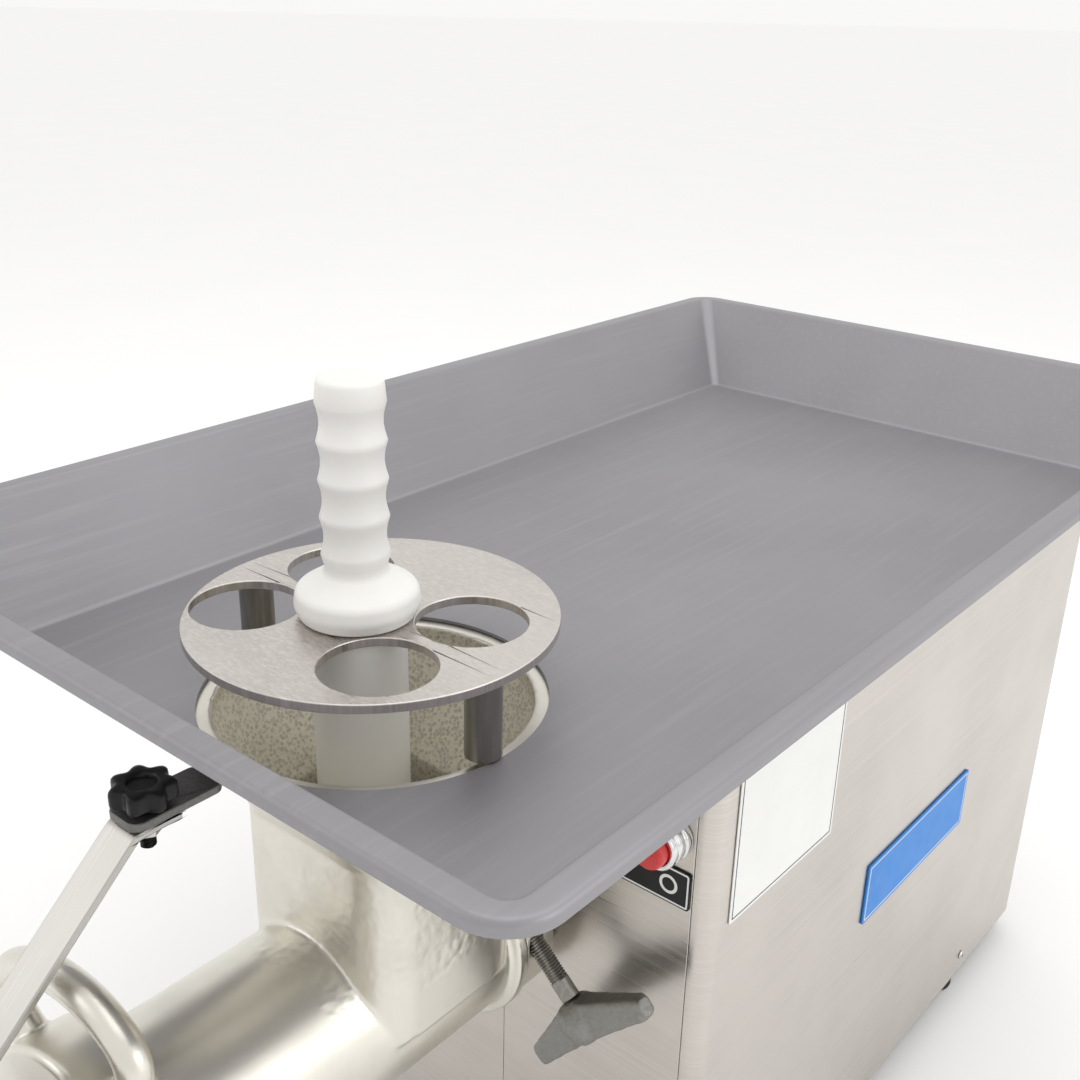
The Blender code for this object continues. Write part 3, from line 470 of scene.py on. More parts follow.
def flat(name, outlines, thickness, location=(0, 0, 0), turn=None, bevel=0.0, segments=3):
    """A plate: the first outline is its edge and the others are holes, in local X and Y."""
    curve = bpy.data.curves.new(name, "CURVE")
    curve.dimensions = "2D"
    curve.fill_mode = "BOTH"
    curve.extrude = thickness / 2
    for outline in outlines:
        spline = curve.splines.new("POLY")
        spline.points.add(len(outline) - 1)
        for point, (x, y) in zip(spline.points, outline):
            point.co = (x, y, 0, 1)
        spline.use_cyclic_u = True
    source = added(name + "_outline", curve)
    graph = bpy.context.evaluated_depsgraph_get()
    raw = bpy.data.meshes.new_from_object(source.evaluated_get(graph))
    remove(source)
    bm = bmesh.new()
    bm.from_mesh(raw)
    bmesh.ops.remove_doubles(bm, verts=bm.verts, dist=0.00001)
    piece = new_piece(name, mesh_of(bm, name), location, turn)
    crease(piece)
    if bevel:
        round_edges(piece, bevel, segments)
    return piece


def box(name, x, y, z, bevel=0.0):
    bm = bmesh.new()
    bmesh.ops.create_cube(bm, size=1.0)
    bmesh.ops.scale(bm, vec=(x[1] - x[0], y[1] - y[0], z[1] - z[0]), verts=bm.verts)
    piece = new_piece(name, mesh_of(bm, name), (sum(x) / 2, sum(y) / 2, sum(z) / 2))
    crease(piece)
    if bevel:
        round_edges(piece, bevel)
    return piece


def box_like(name, node, bevel=0.0):
    """A box of a CAD node's size, where the node stands."""
    low, high = low_of(node), high_of(node)
    return box(name, (low.x, high.x), (low.y, high.y), (low.z, high.z), bevel)


def cylinder(name, radius, length, middle, turn=None, sides=96):
    bm = bmesh.new()
    bmesh.ops.create_cone(bm, cap_ends=True, segments=sides, radius1=radius, radius2=radius, depth=length)
    return new_piece(name, mesh_of(bm, name), middle, turn)


def bridge(bm, rings):
    """Faces between each ring of points and the next."""
    for low, high in zip(rings, rings[1:]):
        for i in range(len(low)):
            j = (i + 1) % len(low)
            bm.faces.new((low[i], low[j], high[j], high[i]))


def loft(name, sections, location=(0, 0, 0), turn=None):
    """A solid through sections of the same number of points, capped at both ends."""
    bm = bmesh.new()
    rings = [[bm.verts.new(point) for point in section] for section in sections]
    bridge(bm, rings)
    bm.faces.new(rings[0])
    bm.faces.new(rings[-1])
    return new_piece(name, mesh_of(bm, name), location, turn)


def sheet(name, columns, thickness, offset=-1):
    """A thickened sheet through a grid of points, given column by column."""
    bm = bmesh.new()
    grid = [[bm.verts.new(point) for point in column] for column in columns]
    for left, right in zip(grid, grid[1:]):
        for j in range(len(left) - 1):
            bm.faces.new((left[j], right[j], right[j + 1], left[j + 1]))
    piece = new_piece(name, mesh_of(bm, name, recalculate=False))
    thicken(piece, thickness, offset)
    return piece


def tube(name, path, radius_at, sides, location=(0, 0, 0), turn=None):
    """A round bar along a path of points; radius_at gives its radius at each share of the length."""
    points = [Vector(p) for p in path]
    last = len(points) - 1
    side = (points[1] - points[0]).orthogonal()
    rings = []
    for i, point in enumerate(points):
        along = (points[min(i + 1, last)] - points[max(i - 1, 0)]).normalized()
        side = (side - along * side.dot(along)).normalized()
        other = along.cross(side)
        rings.append([point + side * x + other * y for x, y in circle(radius_at(i / last), sides)])
    return loft(name, rings, location, turn)


def threaded(name, radius, depth, pitch, low, high, location=(0, 0, 0), turn=None, plain=0.0):
    """A rod whose thread is cut as a helix; plain is the share at its upper end left smooth."""
    sides, per_pitch = 32, 6
    rows = max(int((high - low) / pitch * per_pitch), 4)
    rings = []
    for row in range(rows + 1):
        z = low + (high - low) * row / rows
        fade = 1.0 if (high - z) > plain * (high - low) else 0.0
        taper = min(1.0, 0.7 + min(z - low, high - z) / (pitch * 2))
        ring_points = []
        for i in range(sides):
            turn_share = (z / pitch - i / sides) % 1.0
            groove = depth * (1 - abs(2 * turn_share - 1)) * fade
            reach = (radius - groove) * taper
            ring_points.append((reach * cos(2 * pi * i / sides), reach * sin(2 * pi * i / sides), z))
        rings.append(ring_points)
    return loft(name, rings, location, turn)


def circle(radius, count, x=0.0, y=0.0, start=0.0):
    return [(x + radius * cos(start + 2 * pi * i / count), y + radius * sin(start + 2 * pi * i / count))
            for i in range(count)]


def round_rectangle(x0, x1, y0, y1, radius, arc=10):
    centres = [(x1 - radius, y0 + radius, -pi / 2), (x1 - radius, y1 - radius, 0),
               (x0 + radius, y1 - radius, pi / 2), (x0 + radius, y0 + radius, pi)]
    return [(cx + radius * cos(a + pi / 2 * i / arc), cy + radius * sin(a + pi / 2 * i / arc))
            for cx, cy, a in centres for i in range(arc + 1)]


def at_height(outline, z):
    """The flat outline's points at this height."""
    return [(x, y, z) for x, y in outline]


def between(first, second, share):
    """The outline this share of the way from the first to the second."""
    return [tuple(a + (b - a) * share for a, b in zip(p, q)) for p, q in zip(first, second)]


def stand(piece, look, node):
    """Give the piece its material, stand it on the machine and let it take the place of its CAD node."""
    if not piece.data.materials:
        piece.data.materials.append(LOOK[look])
    piece.location = MACHINE
    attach(piece, BODY_OF[node])
    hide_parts(node)


def trim(piece, look, node):
    """A small visual piece that rides with a CAD node and takes no node's place."""
    piece.data.materials.append(LOOK[look])
    piece.location = MACHINE
    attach(piece, BODY_OF[node])


def weld_bead(name, start, end, radius):
    """A ripple-faced fillet weld in a straight line."""
    start, end = Vector(start), Vector(end)
    length = (end - start).length
    ripple, pitch, step = 0.16, 0.0030, 0.0005
    count = int(length / step)

    def radius_at(share):
        tip = min(1.0, 6 * share + 0.35, 6 * (1 - share) + 0.35)
        return radius * tip * (1 - ripple * abs(sin(pi * length / pitch * share)))

    return tube(name, [start.lerp(end, i / count) for i in range(count + 1)], radius_at, 12)


# ---------------------------------------------------------------- feed pan, guard and stomper


def feed_pan():
    """Sheet tray with rounded folds: floor, leaning walls, flat rim and a short lip."""
    low, high = low_of("feed_pan"), high_of("feed_pan")
    left, right, front, rear = low.x + PAN_RIM, high.x - PAN_RIM, low.y + PAN_RIM, high.y - PAN_RIM
    arc, hole_points = 14, 128
    floor = round_rectangle(left + WALL_LEAN, right - WALL_LEAN, front + WALL_LEAN, rear - WALL_LEAN,
                            0.006, arc)
    mouth = round_rectangle(left, right, front, rear, 0.010, arc)
    rim = round_rectangle(low.x, high.x, low.y, high.y, 0.026, arc)
    depth, lip, flat_edge = PAN_TOP - PAN_Z, 0.007, 0.012
    fold = rounded([(-flat_edge, 0), (0, 0), (WALL_LEAN, depth), (WALL_LEAN + PAN_RIM, depth),
                    (WALL_LEAN + PAN_RIM, depth - lip)], [0, 0.005, 0.0035, 0.0042, 0], 6)
    bm = bmesh.new()
    rings = []
    for out, up in fold:
        if out <= WALL_LEAN:
            outline = between(floor, mouth, out / WALL_LEAN)
        else:
            outline = between(mouth, rim, (out - WALL_LEAN) / PAN_RIM)
        rings.append([bm.verts.new(point) for point in at_height(outline, PAN_Z + up)])
    bridge(bm, rings)
    hole = [bm.verts.new(point) for point in at_height(circle(HOLE_R, hole_points), PAN_Z)]
    edges = [bm.edges.new(pair) for pair in zip(hole, hole[1:] + hole[:1])]
    edges += [bm.edges.get(pair) for pair in zip(rings[0], rings[0][1:] + rings[0][:1])]
    bmesh.ops.triangle_fill(bm, edges=edges, use_beauty=True, use_dissolve=False, normal=(0, 0, 1))
    bmesh.ops.recalc_face_normals(bm, faces=bm.faces)
    floor_face = max(bm.faces, key=lambda face: face.calc_area())
    if floor_face.normal.z < 0:
        bmesh.ops.reverse_faces(bm, faces=bm.faces)
    pan = new_piece("pan_sheet", mesh_of(bm, "pan_sheet", recalculate=False))
    thicken(pan, SHEET)
    crease(pan)
    stand(pan, "pan_steel", "feed_pan")


def guard():
    """Disc with softened edges, on two posts with weld collars."""
    disc = spot_of("guard_disc")
    feed = Vector((FEED_X - disc.x, FEED_Y - disc.y))
    hole_r, across, along = 0.0295, 0.050, 0.033
    outlines = [circle(DISC_R, 160)]
    outlines += [circle(hole_r, 72, feed.x + sx * across, feed.y + sy * along)
                 for sx in (-1, 1) for sy in (-1, 1)]
    outlines.append(circle(0.0265, 72, feed.x, feed.y))
    plate = flat("guard_plate", outlines, size("guard_disc").z, disc, bevel=0.0006)
    stand(plate, "guard_steel", "guard_disc")
    for name in ("guard_post_left", "guard_post_right"):
        spot = spot_of(name)
        low, high = low_of(name).z, high_of(name).z
        radius = size(name).x / 2
        profile = rounded(
            [(0, high), (radius + 0.0008, high), (radius + 0.0006, high - 0.0014),
             (radius - 0.0004, high - 0.0032), (radius - 0.0004, low + 0.0008),
             (radius - 0.0014, low), (0, low)],
            [0, 0.0004, 0.0006, 0.0015, 0.0004, 0.0004, 0], 4)
        post = turned(name.replace("guard_post", "guard_leg"), profile, (spot.x, spot.y, 0), steps=64)
        stand(post, "gear_steel", name)


def stomper():
    """Pusher turned in white plastic: four shallow finger grooves, a broad foot and a straight shaft."""
    seat = DISC_TOP + GAP
    high, low = STOMPER_TOP - 0.0125, seat + 0.034
    grooves, steps = 4, 10
    grip_r, groove_depth, flare, shaft_r = 0.0177, 0.0019, 0.0002, 0.0254
    profile = rounded([(0, STOMPER_TOP), (0.0166, STOMPER_TOP), (0.0176, high)], [0, 0.0030, 0], 6)[:-1]
    for i in range(grooves * steps + 1):
        share = i / steps
        waist = sin(pi * (share % 1.0))
        down = share / grooves
        profile.append((grip_r - groove_depth * waist + flare * down, high + (low - high) * down))
    foot = [(0.0162, low - 0.006), (0.0166, seat + 0.0245), (0.0245, seat + 0.0195), (0.0318, seat + 0.0150),
            (0.0330, seat + 0.0070), (0.0300, seat), (shaft_r, seat), (shaft_r, STOMPER_END),
            (0, STOMPER_END)]
    bends = [0, 0.006, 0.006, 0.02, 0.006, 0.007, 0.0030, 0.0004, 0.0030, 0]
    profile += rounded([profile[-1]] + foot, bends, 7)[1:]
    stand(turned("pusher_grip", profile, (FEED_X, FEED_Y, 0), steps=96), "white_plastic", "stomper")


# ---------------------------------------------------------------- grinding head


def head():
    """Cast hopper, neck and barrel with filleted junctions, rough inside the throat."""
    count, steps = 96, 8
    arc = count // 4 - 1

    def neck(half_x, half_y, radius):
        return round_rectangle(-half_x, half_x, -half_y, half_y, radius, arc)

    def hopper(radius):
        return circle(radius, count, start=-pi / 2)

    flange, under, square = hopper(0.0985), hopper(0.0915), neck(0.060, 0.055, 0.024)
    shoulder, shoulder_drop = PAN_Z - 0.018, 0.050
    sections = [at_height(flange, high_of("head_body").z), at_height(flange, PAN_Z - 0.012),
                at_height(under, shoulder)]
    for i in range(1, steps + 1):
        share = i / steps
        ease = share + 0.10 * sin(pi * share)
        sections.append(at_height(between(under, square, ease), shoulder - shoulder_drop * share))
    sections.append(at_height(square, AXIS_Z + 0.004))
    casting = loft("head_casting", sections)
    length = HEAD_REAR - HEAD_FRONT
    along = (HEAD_REAR + HEAD_FRONT) / 2

    def coaxial(name, radius, depth, middle):
        return cylinder(name, radius, depth, (0, middle, AXIS_Z), ALONG_Y, 128)

    combine(casting, coaxial("barrel", 0.056, length, along), "UNION")
    combine(casting, coaxial("collar", 0.060, 0.022, HEAD_FRONT + 0.011), "UNION")
    combine(casting, coaxial("rear_collar", 0.0625, 0.009, HEAD_REAR - 0.0045), "UNION")
    combine(casting, coaxial("spigot", 0.050, 0.050, HEAD_REAR + 0.005), "UNION")
    throat_top, throat_square = hopper(0.086), neck(0.050, 0.046, 0.022)
    throat, throat_drop = PAN_Z - 0.010, 0.060
    hollow = [at_height(throat_top, PAN_Z + 0.005), at_height(throat_top, throat)]
    for i in range(1, steps + 1):
        share = i / steps
        hollow.append(at_height(between(throat_top, throat_square, share), throat - throat_drop * share))
    hollow.append(at_height(neck(0.040, 0.044, 0.022), AXIS_Z + 0.005))
    cut(casting, loft("throat", hollow))
    cut(casting, coaxial("bore", 0.047, length + 0.1, along))
    cut(casting, coaxial("seat", PLATE_R + 0.0005, 0.0222, HEAD_FRONT + 0.0101))
    soften(casting, 0.0015, 7)
    finish_casting(casting.data)

    def in_rough_throat(spot):
        return spot.xy.length < 0.0855 and PAN_Z - 0.15 < spot.z < PAN_Z - 0.006

    roughen(casting.data, 0.00022, 260, in_rough_throat)
    stand(casting, "cast_steel", "head_body")


def finish_casting(mesh):
    """Leave the faces inside the throat and the bore rough, and the rest satin."""
    mesh.materials.clear()
    mesh.materials.append(LOOK["cast_steel"])
    mesh.materials.append(LOOK["throat"])
    spots, normals = read_vectors(mesh.polygons, "center"), read_vectors(mesh.polygons, "normal")
    reach = np.hypot(spots[:, 0], spots[:, 1])
    facing_in = normals[:, 0] * spots[:, 0] + normals[:, 1] * spots[:, 1] < -0.12 * reach
    in_throat = facing_in & (spots[:, 2] < PAN_Z - 0.0035)
    facing_bore = normals[:, 0] * spots[:, 0] + normals[:, 2] * (spots[:, 2] - AXIS_Z) < 0
    in_bore = facing_bore & (np.abs(normals[:, 1]) < 0.9)
    inside = np.where(spots[:, 2] > AXIS_Z + 0.020, in_throat, in_bore)
    mesh.polygons.foreach_set("material_index", inside.astype(np.int32))


def auger_screw():
    """Auger with a smooth helical flight."""
    front, rear = HEAD_FRONT + 0.024, 0.052
    core_r, pin_r, pin_end = 0.019, 0.008, -0.0225
    profile = rounded([(0, rear - front), (core_r, rear - front), (core_r, 0), (pin_r, 0), (pin_r, pin_end),
                       (0, pin_end)], [0, 0.001, 0.002, 0.001, 0.001, 0], 3)
    core = turned("auger_screw", profile, (0, front, AXIS_Z), ALONG_Y, 64)
    turns, per_turn, pitch = 3.5, 64, 0.0560
    half, root, reach = 0.00275, 0.017, 0.0455
    section = rounded([(root, -half * 1.5), (reach, -half), (reach, half), (root, half * 1.5)],
                      [0, 0.0012, 0.0012, 0], 3)
    rings = []
    for i in range(int(turns * per_turn) + 1):
        angle = 2 * pi * i / per_turn
        height = pitch * i / per_turn - turns * pitch / 2
        rings.append([(r * cos(angle), r * sin(angle), height + h) for r, h in section])
    flight = loft("flight", rings, (0, (front + rear) / 2 - 0.004, AXIS_Z), ALONG_Y)
    tang = box("tang", (-0.011, 0.011), (rear - 0.001, rear + 0.020), (AXIS_Z - 0.011, AXIS_Z + 0.011), 0.001)
    screw = joined("auger_screw", [core, flight, tang])
    crease(screw)
    stand(screw, "cast_steel", "auger")


def plate_and_knife():
    """Hole plate with three rings of holes, and the four-armed knife behind it."""
    outlines = [circle(PLATE_R, 128), circle(0.0086, 32)]
    for radius, count in ((0.0185, 6), (0.0290, 10), (0.0395, 14)):
        outlines += [circle(0.0040, 28, x, y) for x, y in circle(radius, count)]
    plate = flat("grinding_plate", outlines, 0.0100, (0, HEAD_FRONT + 0.0052, AXIS_Z), ALONG_Y, 0.0003, 2)
    stand(plate, "machined_steel", "hole_plate")
    points = []
    for quarter in range(4):
        for reach, turn in ((0.0185, -0.62), (0.0440, -0.16), (0.0450, 0.10), (0.0190, 0.36)):
            angle = quarter * pi / 2 + turn
            points.append((reach * cos(angle), reach * sin(angle)))
    outline = rounded(points, 0.0030, 4, closed=True)
    knife = flat("cross_knife", [outline, circle(0.0085, 32)], 0.0085, (0, HEAD_FRONT + 0.0155, AXIS_Z),
                 ALONG_Y, 0.0005)
    stand(knife, "machined_steel", "knife")


def ring():
    """Retaining ring with three loops of round bar that run into it with a fillet."""
    low, high = HEAD_FRONT - 0.0135, HEAD_FRONT + 0.0200
    step, mouth, bore, radius = HEAD_FRONT - GAP, 0.0440, 0.0605, 0.072
    profile = rounded(
        [(radius, high), (radius, low), (mouth, low), (mouth, step), (bore, step), (bore, high)],
        [0.0025, 0.0035, 0.0035, 0.0006, 0.0006, 0.001], 4, closed=True)
    bar = 0.0088
    foot, apex = radius - 0.004, 0.115 - bar
    half_spread, steps = radians(41), 48
    parts = [turned("ring_body", profile, (0, 0, AXIS_Z), ALONG_Y, 128, closed=True)]
    for number, middle in enumerate((-12, 108, 228)):
        path = []
        for i in range(steps + 1):
            share = i / steps * 2 - 1
            angle = radians(middle) + half_spread * sin(share * pi / 2) * (1 - 0.12 * share ** 8)
            reach = foot + (apex - foot) * (1 - share ** 4)
            path.append((reach * sin(angle), reach * cos(angle), 0))
        parts.append(tube("loop_%d" % number, path, lambda share: bar, 28,
                          location=(0, HEAD_FRONT + 0.004, AXIS_Z), turn=FACING_FRONT))
    nut = joined("looped_ring", parts)
    soften(nut, 0.0013, 4)
    stand(nut, "cast_steel", "ring_nut")


# ---------------------------------------------------------------- deflector, bracket and knob


def bracket_bar():
    """Dark bar under the pan that carries the knob, with its weld bead."""
    low, high = low_of("bracket"), high_of("bracket")
    outline = round_rectangle(low.x, high.x, low.y, high.y, 0.006, 6)
    bar = flat("bracket_bar", [outline, circle(0.0044, 32, KNOB_X, KNOB_Y)], high.z - low.z,
               (0, 0, (low.z + high.z) / 2), bevel=0.0008)
    stand(bar, "dark_bracket", "bracket")
    bead_y = high.y - 0.001
    bead = weld_bead("bracket_weld", (low.x - 0.001, bead_y, high.z), (high.x + 0.001, bead_y, high.z),
                     0.0030)
    trim(bead, "gear_steel", "bracket")


def strap():
    """Flat steel strap, bent over the outlet."""
    low, high = low_of("strap_bar"), high_of("strap_bar")
    thick, down = 0.004, radians(43)
    top, foot = high.z, low.z
    bend_y, end_y = KNOB_Y - 0.012, low.y
    knee = top - (bend_y - end_y) * tan(down)
    outline = [(high.y, top), (bend_y, top), (end_y, knee), (end_y, foot), (end_y + thick, foot),
               (end_y + thick, knee + thick * tan(down) - thick / cos(down)),
               (bend_y + (thick / cos(down) - thick) / tan(down), top - thick), (high.y, top - thick)]
    bends = [0.0006, 0.012, 0.014, 0.0006, 0.0006, 0.010, 0.008, 0.0006]
    piece = flat("strap", [rounded(outline, bends, 6, closed=True)], high.x - low.x, (KNOB_X, 0, 0),
                 FACING_RIGHT, 0.0007)
    stand(piece, "strap_steel", "strap_bar")


def shield():
    """Curved splash shield with rounded corners, riveted to the strap's block."""
    low, high = low_of("outlet_shield"), high_of("outlet_shield")
    radius, spread, corner = 0.150, radians(33), 0.014
    rows, columns = 24, 64
    grid = []
    height = high.z - low.z
    for i in range(columns + 1):
        angle = -pi / 2 - spread + 2 * spread * i / columns
        edge = min(i, columns - i) / columns * 2 * spread * radius
        trim_by = 0.0
        if edge < corner:
            trim_by = corner - sqrt(corner ** 2 - (corner - edge) ** 2)
        x, y = KNOB_X + radius * cos(angle), KNOB_Y + radius * sin(angle)
        grid.append([(x, y, low.z + trim_by + (height - 2 * trim_by) * j / rows) for j in range(rows + 1)])
    piece = sheet("splash_shield", grid, SHEET, offset=1)
    round_edges(piece, 0.0006, angle=50)
    stand(piece, "brushed_steel", "outlet_shield")
    stand(box_like("strap_block", "shield_block", 0.0012), "machined_steel", "shield_block")
    rivet_inset, face_y = 0.009, KNOB_Y - radius - SHEET + 0.0006
    dome = rounded([(0, 0.0021), (0.0030, 0.0019), (0.0045, 0.0003), (0, 0.0003)], [0, 0.002, 0.0003, 0], 4)
    ends = (low_of("shield_block").z + rivet_inset, high_of("shield_block").z - rivet_inset)
    for number, z in enumerate(ends):
        rivet = turned("shield_rivet_%d" % number, dome, (KNOB_X, face_y, z), FACING_FRONT, 32)
        trim(rivet, "machined_steel", "outlet_shield")


def hand_knob():
    """Seven-lobed knob with rolled edges, a sunk top and its stud."""
    low, high = low_of("star_knob").z, high_of("star_knob").z
    base, boss_height = high - 0.0135, 0.0025
    lobes, lobe_height, radius, well = 7, 0.0018, 0.0145, 0.47
    rim = [(0.80, 0.0), (0.93, 0.0005), (0.985, 0.0016), (1.0, 0.0032), (1.0, 0.0078), (0.985, 0.0094),
           (0.93, 0.0105), (0.80, 0.0110), (0.58, 0.0110), (0.52, 0.0106), (0.49, 0.0095), (0.47, 0.0088)]
    angles = [2 * pi * i / 168 for i in range(168)]
    rings = []
    for share, up in rim:
        swell = lobe_height * max(0.0, (share - well) / (1 - well))
        reaches = [radius * share + swell * cos(lobes * angle) for angle in angles]
        rings.append([(reach * cos(angle), reach * sin(angle), base + boss_height + up)
                      for reach, angle in zip(reaches, angles)])
    body = loft("knob_body", rings, (KNOB_X, KNOB_Y, 0))
    boss = turned("knob_boss", rounded([(0, base + 0.003), (0.0085, base + 0.003), (0.0085, base), (0, base)],
                                       [0, 0, 0.0005, 0], 3), (KNOB_X, KNOB_Y, 0), steps=48)
    stud = threaded("knob_stud", 0.0040, 0.0008, 0.00125, low, base + 0.001, (KNOB_X, KNOB_Y, 0))
    knob = joined("hand_knob", [body, boss, stud])
    crease(knob, 50)
    stand(knob, "black_plastic", "star_knob")
    nut_low, nut_high = low_of("strap_nut"), high_of("strap_nut")
    nut = flat("hex_nut", [circle(0.0070, 6), circle(0.0043, 32)], nut_high.z - nut_low.z,
               (KNOB_X, KNOB_Y, (nut_low.z + nut_high.z) / 2), bevel=0.0006)
    stand(nut, "machined_steel", "strap_nut")


# ---------------------------------------------------------------- hub and head clamp

CLAMP_DOWN = radians(42)
CLAMP_AXIS = Vector((cos(CLAMP_DOWN), 0, -sin(CLAMP_DOWN)))
CLAMP_SIDE = Vector((sin(CLAMP_DOWN), 0, cos(CLAMP_DOWN)))
CLAMP_CENTRE = Vector((0.097, 0.070, PAN_Z - 0.214))
CLAMP_TURN = Matrix((CLAMP_SIDE, CLAMP_AXIS.cross(CLAMP_SIDE), CLAMP_AXIS)).transposed().to_4x4()


def hub():
    """Socket on the housing that takes the head's spigot, with a hole for the clamp screw."""
    profile = rounded([(0.0600, 0.0250), (0.0600, 0), (0.0505, 0), (0.0505, 0.0365), (0.0200, 0.0365),
                       (0.0200, 0.0520), (0.0480, 0.0520), (0.0480, 0.0250)],
                      [0.001, 0.0022, 0.0008, 0.001, 0.001, 0.001, 0.001, 0.003], 4, closed=True)
    socket = turned("hub_socket", profile, (0, HEAD_REAR + 2 * GAP, AXIS_Z), ALONG_Y, 128, closed=True)
    reach = 0.060
    cut(socket, cylinder("screw_hole", 0.0066, reach, CLAMP_CENTRE - reach * CLAMP_AXIS, CLAMP_TURN, 48))
    crease(socket)
    stand(socket, "cast_steel", "attachment_hub")


def clamp():
    """Threaded clamp rod with a rough sand-cast two-winged handle."""
    boss_end, rod_length = 0.0118, 0.0450
    rod_top = -boss_end - GAP
    rod = threaded("clamp_thread", 0.0060, 0.0009, 0.00175, rod_top - rod_length, rod_top,
                   CLAMP_CENTRE, CLAMP_TURN, plain=0.30)
    crease(rod, 60)
    stand(rod, "gear_steel", "clamp_rod")
    sweep, span, steps = tan(radians(9.5)), 0.056, 16
    sections = []
    for i in range(-steps, steps + 1):
        share = i / steps
        reach = span * share
        away = 1 - abs(share)
        half_wide = 0.0070 + 0.0062 * away ** 1.2
        half_thick = 0.0062 + 0.0038 * away ** 1.3
        if abs(i) == steps:
            half_wide, half_thick = 0.0052, 0.0046
        rise = abs(reach) * sweep
        section = round_rectangle(-half_thick, half_thick, rise - half_wide, rise + half_wide, 0.0032, arc=5)
        sections.append([(reach, y, z) for y, z in section])
    arms = loft("wing_arms", sections, CLAMP_CENTRE, CLAMP_TURN)
    profile = rounded([(0, 0.0150), (0.0080, 0.0142), (0.0128, 0.0100), (0.0152, 0.0), (0.0135, -0.0080),
                       (0.0095, -boss_end), (0, -boss_end)], [0, 0.003, 0.005, 0.01, 0.006, 0.001, 0], 5)
    boss = turned("wing_boss", profile, CLAMP_CENTRE, CLAMP_TURN, 64)
    wing = joined("cast_wing", [arms, boss])
    soften(wing, 0.0009, 4)
    roughen(wing.data, 0.00032, 150, lambda spot: True)
    stand(wing, "rough_cast", "clamp_wing")


# ---------------------------------------------------------------- drive housing


def housing():
    """Folded steel cover with round vertical corners and a small radius round its top."""
    panel_half = size("rear_panel").x / 2
    panel_top = high_of("rear_panel").z
    corner, fold = 0.012, 0.003
    bm = bmesh.new()
    rings = []
    side = rounded([(0, BODY_BOTTOM), (0, BODY_TOP), (-0.030, BODY_TOP)], [0, fold, 0], 5)
    for out, z in side:
        radius = max(corner + out, 0.001)
        outline = round_rectangle(-BODY_HALF - out, BODY_HALF + out, BODY_FRONT - out, BODY_REAR + out,
                                  radius, 12)
        rings.append([bm.verts.new(point) for point in at_height(outline, z)])
    bridge(bm, rings)
    bm.faces.new(rings[-1])
    shell = new_piece("housing_cover", mesh_of(bm, "housing_cover"))
    thicken(shell, SHEET)
    seam, past = 0.0006, 0.005
    for y in (BODY_FRONT, BODY_REAR):
        cut(shell, box("opening", (-panel_half - seam, panel_half + seam), (y - past, y + past),
                       (BODY_BOTTOM - 2 * past, panel_top + seam)))
    crease(shell, 35)
    stand(shell, "brushed_steel", "housing_shell")


def front_panels():
    """Two cover panels round the hub; the right one has the holes for the buttons."""
    holes = [spot_of(name).xz for name in ("start_bezel", "stop_bezel")]
    for node in ("front_panel_left", "front_panel_right"):
        panel = box_like(node.replace("front_panel", "cover_panel"), node)
        cut(panel, cylinder("hub_hole", 0.0490, THROUGH, (0, BODY_FRONT, AXIS_Z), ALONG_Y, 128))
        if node.endswith("right"):
            for x, z in holes:
                cut(panel, cylinder("button_hole", 0.0092, THROUGH, (x, BODY_FRONT, z), ALONG_Y, 48))
        crease(panel)
        round_edges(panel, 0.0004, 2)
        stand(panel, "brushed_steel", node)


def rear_panel():
    """Rear panel with hooded cooling slots."""
    panel = box_like("slotted_panel", "rear_panel")
    slots, first, pitch = 5, 0.110, 0.022
    half_hood, rise, drop = 0.086, 0.0045, 0.0085
    steps, arc = 40, 8
    hoods = []
    for row in range(slots):
        z = first + pitch * row
        slot = round_rectangle(-0.085, 0.085, -0.003, 0.003, 0.0029, 6)
        cut(panel, flat("slot", [slot], THROUGH, (0, BODY_REAR, z + 0.003), FACING_FRONT))
        columns = []
        for i in range(steps, -1, -1):
            share = i / steps * 2 - 1
            swell = (1 - abs(share) ** 8) ** 0.5
            angles = [pi / 2 * j / arc for j in range(arc + 1)]
            columns.append([(half_hood * share, BODY_REAR - 0.0005 + rise * sin(a) * swell,
                             z + 0.0005 + drop * cos(a)) for a in angles])
        hoods.append(sheet("hood", columns, 0.0008))
    gland = spot_of("cable_gland")
    cut(panel, cylinder("gland_hole", 0.0100, THROUGH, (gland.x, BODY_REAR, gland.z), ALONG_Y, 48))
    whole = joined("slotted_panel", [panel] + hoods)
    crease(whole)
    stand(whole, "brushed_steel", "rear_panel")
    profile = [(0.0070, 0.024), (0.0095, 0.022)]
    for i in range(4):
        z = 0.0215 - 0.0026 * i
        profile += [(0.0095, z), (0.0082, z - 0.0006), (0.0082, z - 0.0016), (0.0095, z - 0.0022)]
    profile += [(0.0095, 0.0110), (0.0130, 0.0100), (0.0130, 0.0003), (0.0096, 0.0003), (0.0096, -0.010),
                (0.0045, -0.010), (0.0045, 0.024)]
    entry = turned("cable_entry", profile, (gland.x, BODY_REAR, gland.z), ALONG_Y, 48, closed=True)
    crease(entry, 30)
    stand(entry, "black_plastic", "cable_gland")


